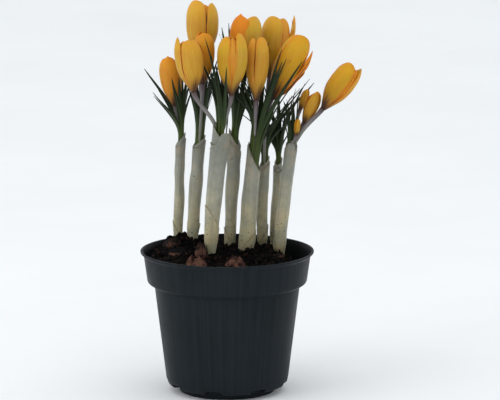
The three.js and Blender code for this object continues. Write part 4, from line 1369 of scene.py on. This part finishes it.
# %% How single petals differ
# Each row is keyed by flower and petal. Petals that end in a point, as a share of their length,
# and petals that stand away from the cup, as a share of its radius.
POINTED = {(1, 0): 0.06, (5, 0): 0.05, (7, 2): 0.1, (8, 1): 0.2, (8, 2): 0.2}
FLARED = {(8, 1): 0.72, (8, 2): 0.66, (7, 2): 0.34}
# Petals whose length is changed, petals of their own width, and petals that sway to one side.
LENGTH = {(8, 1): 0.77, (8, 2): 0.58, (7, 0): 1.05, (7, 1): 1.06, (7, 2): 0.96, (7, 4): 0.92,
          (8, 4): 0.96}
NARROW = {(8, 1): 0.42, (8, 2): 0.4, (4, 1): 0.5, (2, 1): 0.5, (9, 1): 0.5, (7, 2): 0.55}
SWAYED = {(5, 0): 0.65, (1, 0): 0.05, (1, 2): -0.2}
# Inner petals that come forward between the outer ones, flush with them (mm).
FORWARD = {(4, 1): 0.85, (2, 1): 0.6, (9, 1): 0.75}
# How far each petal has turned from yellow (0) to orange (1), where that isn't the usual.
ORANGE = {(0, 0): 0.75, (0, 4): 0.1, (1, 0): 0.25, (1, 2): 0.45, (2, 0): 0.3, (2, 2): 0.1,
          (3, 0): 0.4, (3, 4): 0.5, (4, 0): 0.05, (4, 2): 0.1, (5, 0): 0.95, (5, 2): 0.05,
          (6, 0): 0.6, (6, 2): 0.45, (7, 0): 0.0, (7, 1): 0.8, (7, 2): 0.8, (8, 0): 0.1,
          (8, 2): 0.5, (9, 0): 0.1, (9, 2): 0.3, (10, 0): 0.3, (11, 0): 0.4, (12, 0): 0.5}
# For each flower: the share of its radius that is left at its top, and how wide its outer petals
# are against its radius.
TOP_SHARE = [0.3, 0.45, 0.48, 0.45, 0.36, 0.5, 0.36, 0.56, 0.5, 0.55, 0.25, 0.25, 0.25]
WIDE = [1.05, 1.0, 1.03, 1.12, 0.8, 1.03, 0.97, 0.95, 1.15, 0.95, 0.76, 0.76, 0.76]
# Flowers that are turned a little further (radians), and how pale and streaked a flower is: past a
# half, painted shade also darkens its petals' edges, standing in for the shade in folds and slits.
TURN_ON = {7: -0.3, 1: -0.2, 2: 0.02, 3: -0.35, 5: -0.2}
PALE_AND_EDGE_SHADE = {1: 0.9, 2: 0.9, 6: 0.9, 7: 0.5}
# How much lower the far side of a flower stands than the near one, as a share of its length.
FAR_SIDE = 0.07


def petal(bm, bloom, petal, draw, key):
    base, axis, long, u, v = bloom_frame(bloom)
    wave, crease, sway = 6 * draw(), mix(0.15, 0.4, draw()), mix(-0.09, 0.09, draw())
    peak = max(mix(0.0, 0.035, draw() ** 2), POINTED.get(key, 0.0))
    stand_off = FLARED.get(key, 0.0) * bloom["radius"]
    small = bloom["radius"] / 9
    reach = petal["reach"] * LENGTH.get(key, 1.0)
    hue = ORANGE.get(key, 0.15 if petal["outer"] else 0.85)
    foot = 1.06 if petal["outer"] else 0.92
    wide = NARROW.get(key, WIDE[key[0]] if petal["outer"] else INNER_WIDE)
    sway += SWAYED.get(key, 0.0)
    faces = petal["turn"] + TURN_ON.get(key[0], 0.0)
    away = around(u, v, faces)[1]
    if key not in POINTED:
        reach *= 1 - FAR_SIDE * max(0.0, away)
    layer = petal["layer"] if petal["outer"] else 0.12 * petal["layer"]

    def height(row):
        """Rows close up towards the tip, so that its round edge stays smooth."""
        if row < WIDEST:
            return row
        return WIDEST + (1 - WIDEST) * math.sin((row - WIDEST) / (1 - WIDEST) * math.pi / 2)

    def place(s, row):
        t = height(row)
        radius = dome_radius(bloom, t, TOP_SHARE[key[0]])
        tier = layer * smooth(0.06, 0.36, t) - (0 if petal["outer"] else 0.3)
        tier += FORWARD.get(key, 0.0) * smooth(0.1, 0.4, t)
        flare = petal["spread"] * bloom["radius"] * smooth(0.55, 1, t)
        flare += stand_off * smooth(0.35, 1, t) ** 1.5
        half = petal_half(bloom, t, wide, foot)
        angle = faces + s * half / radius + sway * smooth(0.2, 0.5, t) * (t - 0.2)
        roll = (0.25 if petal["outer"] else 0.5) * abs(s) ** 3 * smooth(0.3, 0.7, t)
        fold = crease * math.exp(-((s / 0.16) ** 2)) * smooth(0.05, 0.2, t)
        fold *= 1 - smooth(0.3, 0.75, t)
        edge = 0.22 * math.sin(11 * t + wave + 2 * s) * abs(s) ** 2 * smooth(0.3, 0.6, t)
        skin = 0.35 * smooth(0.0, 0.12, t)
        out = radius + tier + flare + (skin - roll - fold + edge) * small
        rise = (t + peak * (1 - abs(s)) * smooth(0.85, 1, t)) * long * reach
        return base + axis * rise + out * around(u, v, angle)

    sheet(bm, PETAL_COLUMNS, PETAL_ROWS, place,
          thick=PETAL_SKIN * (0.6 if bloom["bud"] else 1.0),
          tint=hue + mix(-0.05, 0.05, draw()), tone=PALE_AND_EDGE_SHADE.get(key[0], 0.4 * draw()))


print("petals of the first flower:", [round(math.degrees(p["turn"])) for p in petal_plan(0)])


# %% Throat, stamens and style
def flower_mesh(index):
    bm, bloom, draw = start(), BLOOMS[index], drawer(index + PETAL_SEED)
    base, axis, long, *_ = bloom_frame(bloom)
    top = 1.0 if bloom["bud"] else 0.16
    shrink = 0.25 if bloom["bud"] else 0.6

    def throat(t, _):
        return max(0.3, (cup_radius(bloom, mix(0.0, top, t)) - shrink) * min(1, 0.5 + 3 * t))

    rod(bm, line(base, base + top * long * axis), throat, 20, 16, 0.2, 0.0)
    for k, plan in enumerate(petal_plan(index)):
        if plan["outer"] or not bloom["bud"]:
            petal(bm, bloom, plan, draw, (index, k))
    return bm


def anther(t, _):
    """A thin stalk that swells into the pollen sac."""
    return 0.28 if t < 0.45 else 0.28 + 0.62 * math.sin(math.pi * (t - 0.45) / 0.55) ** 0.6


def stamens_mesh(index):
    """Three stamens round a branched style, in the bottom of the cup."""
    bm, bloom = start(), BLOOMS[index]
    base, axis, long, u, v = bloom_frame(bloom)
    split = base + axis * long * 0.5
    for k in range(3):
        way = around(u, v, math.radians(bloom["turn"] + 120 * k))
        foot, tip = base + axis * long * 0.1 + way * 0.8, base + axis * long * 0.62 + way * 1.9
        rod(bm, line(foot, tip), anther, 8, 14, 0.9, 0.2)
        rod(bm, bezier(split, axis * 3, split + axis * long * 0.24 + way * -1.6, way * -1.2),
            lambda t, _: mix(0.2, 0.5, t * t), 6, 8, 1.0, 0.9)
    rod(bm, line(base + axis * long * 0.1, base + axis * long * 0.52), lambda t, _: 0.3,
        8, 4, 0.9, 0.4)
    return bm


# %% Petal finish
def petal_finish():
    material, tree, shader, place, along = finish("crocus_petal", 0.5, 0.18,
                                                  glow=(0.2, (1.0, 0.45, 0.08), 0.002))
    u, v = node(tree, "SeparateXYZ", {0: along}).outputs[:2]
    off = calc(tree, "ABSOLUTE", calc(tree, "SUBTRACT", calc(tree, "MULTIPLY", u, 2.0), 1.0))
    ribs = effect(tree, STREAKS, along, Across=26.0, Along=1.3)
    veins = effect(tree, STREAKS, along, Across=70.0, Along=2.2)
    cloud = effect(tree, MOTTLE, place, Size=110.0)
    tint, tone = attribute(tree, "tint"), attribute(tree, "tone")
    yellow = ramp(tree, v, [(0.0, rgb(74, 48, 40)), (0.14, rgb(140, 104, 36)),
                            (0.35, rgb(186, 144, 30)), (0.75, rgb(214, 166, 34)),
                            (1.0, rgb(226, 156, 26))])
    orange = ramp(tree, v, [(0.0, rgb(74, 44, 38)), (0.14, rgb(150, 84, 30)),
                            (0.35, rgb(218, 116, 20)), (0.75, rgb(240, 134, 20)),
                            (1.0, rgb(244, 136, 22))])
    margin = between(tree, off, 0.74, 1.0)
    share = calc(tree, "ADD", tint, calc(tree, "MULTIPLY", margin, 0.8), clamp=True)
    base = tinted(tree, share, yellow, orange)
    base = wash(tree, base, between(tree, tone, 0.0, 0.5, 0.0, 0.7), ribs, 222, 184, 78)
    base = wash(tree, base, veins, 0.2, 128, 84, 20)
    base = wash(tree, base, cloud, 0.22, 226, 128, 20)
    low = calc(tree, "ADD", v, calc(tree, "MULTIPLY", off, 0.22))
    low = calc(tree, "SUBTRACT", low, calc(tree, "MULTIPLY", ribs, 0.2))
    base = wash(tree, base, between(tree, low, 0.26, 0.04), 0.85, 62, 40, 36)
    # Painted shade: a thin dark line along the petal margins at mid height, standing in for the
    # shade in the folds and slits between petals.
    fold = calc(tree, "MULTIPLY", between(tree, off, 0.93, 0.985), between(tree, v, 0.3, 0.42))
    fold = calc(tree, "MULTIPLY", fold, between(tree, v, 0.84, 0.7))
    fold = calc(tree, "MULTIPLY", fold, between(tree, tone, 0.5, 0.85, 0.15, 0.9))
    base = tinted(tree, fold, base, rgb(74, 40, 16))
    paint(tree, shader, base, ribs, 0.00012)
    return material


PETAL = petal_finish()
for index, bloom in enumerate(BLOOMS):
    piece(flower_mesh(index), f"flower_{index + 1}", [PETAL], "bloom", f"bloom_{index + 1}")
    if not bloom["bud"]:
        piece(stamens_mesh(index), f"stamens_{index + 1}", [PETAL], "bloom")
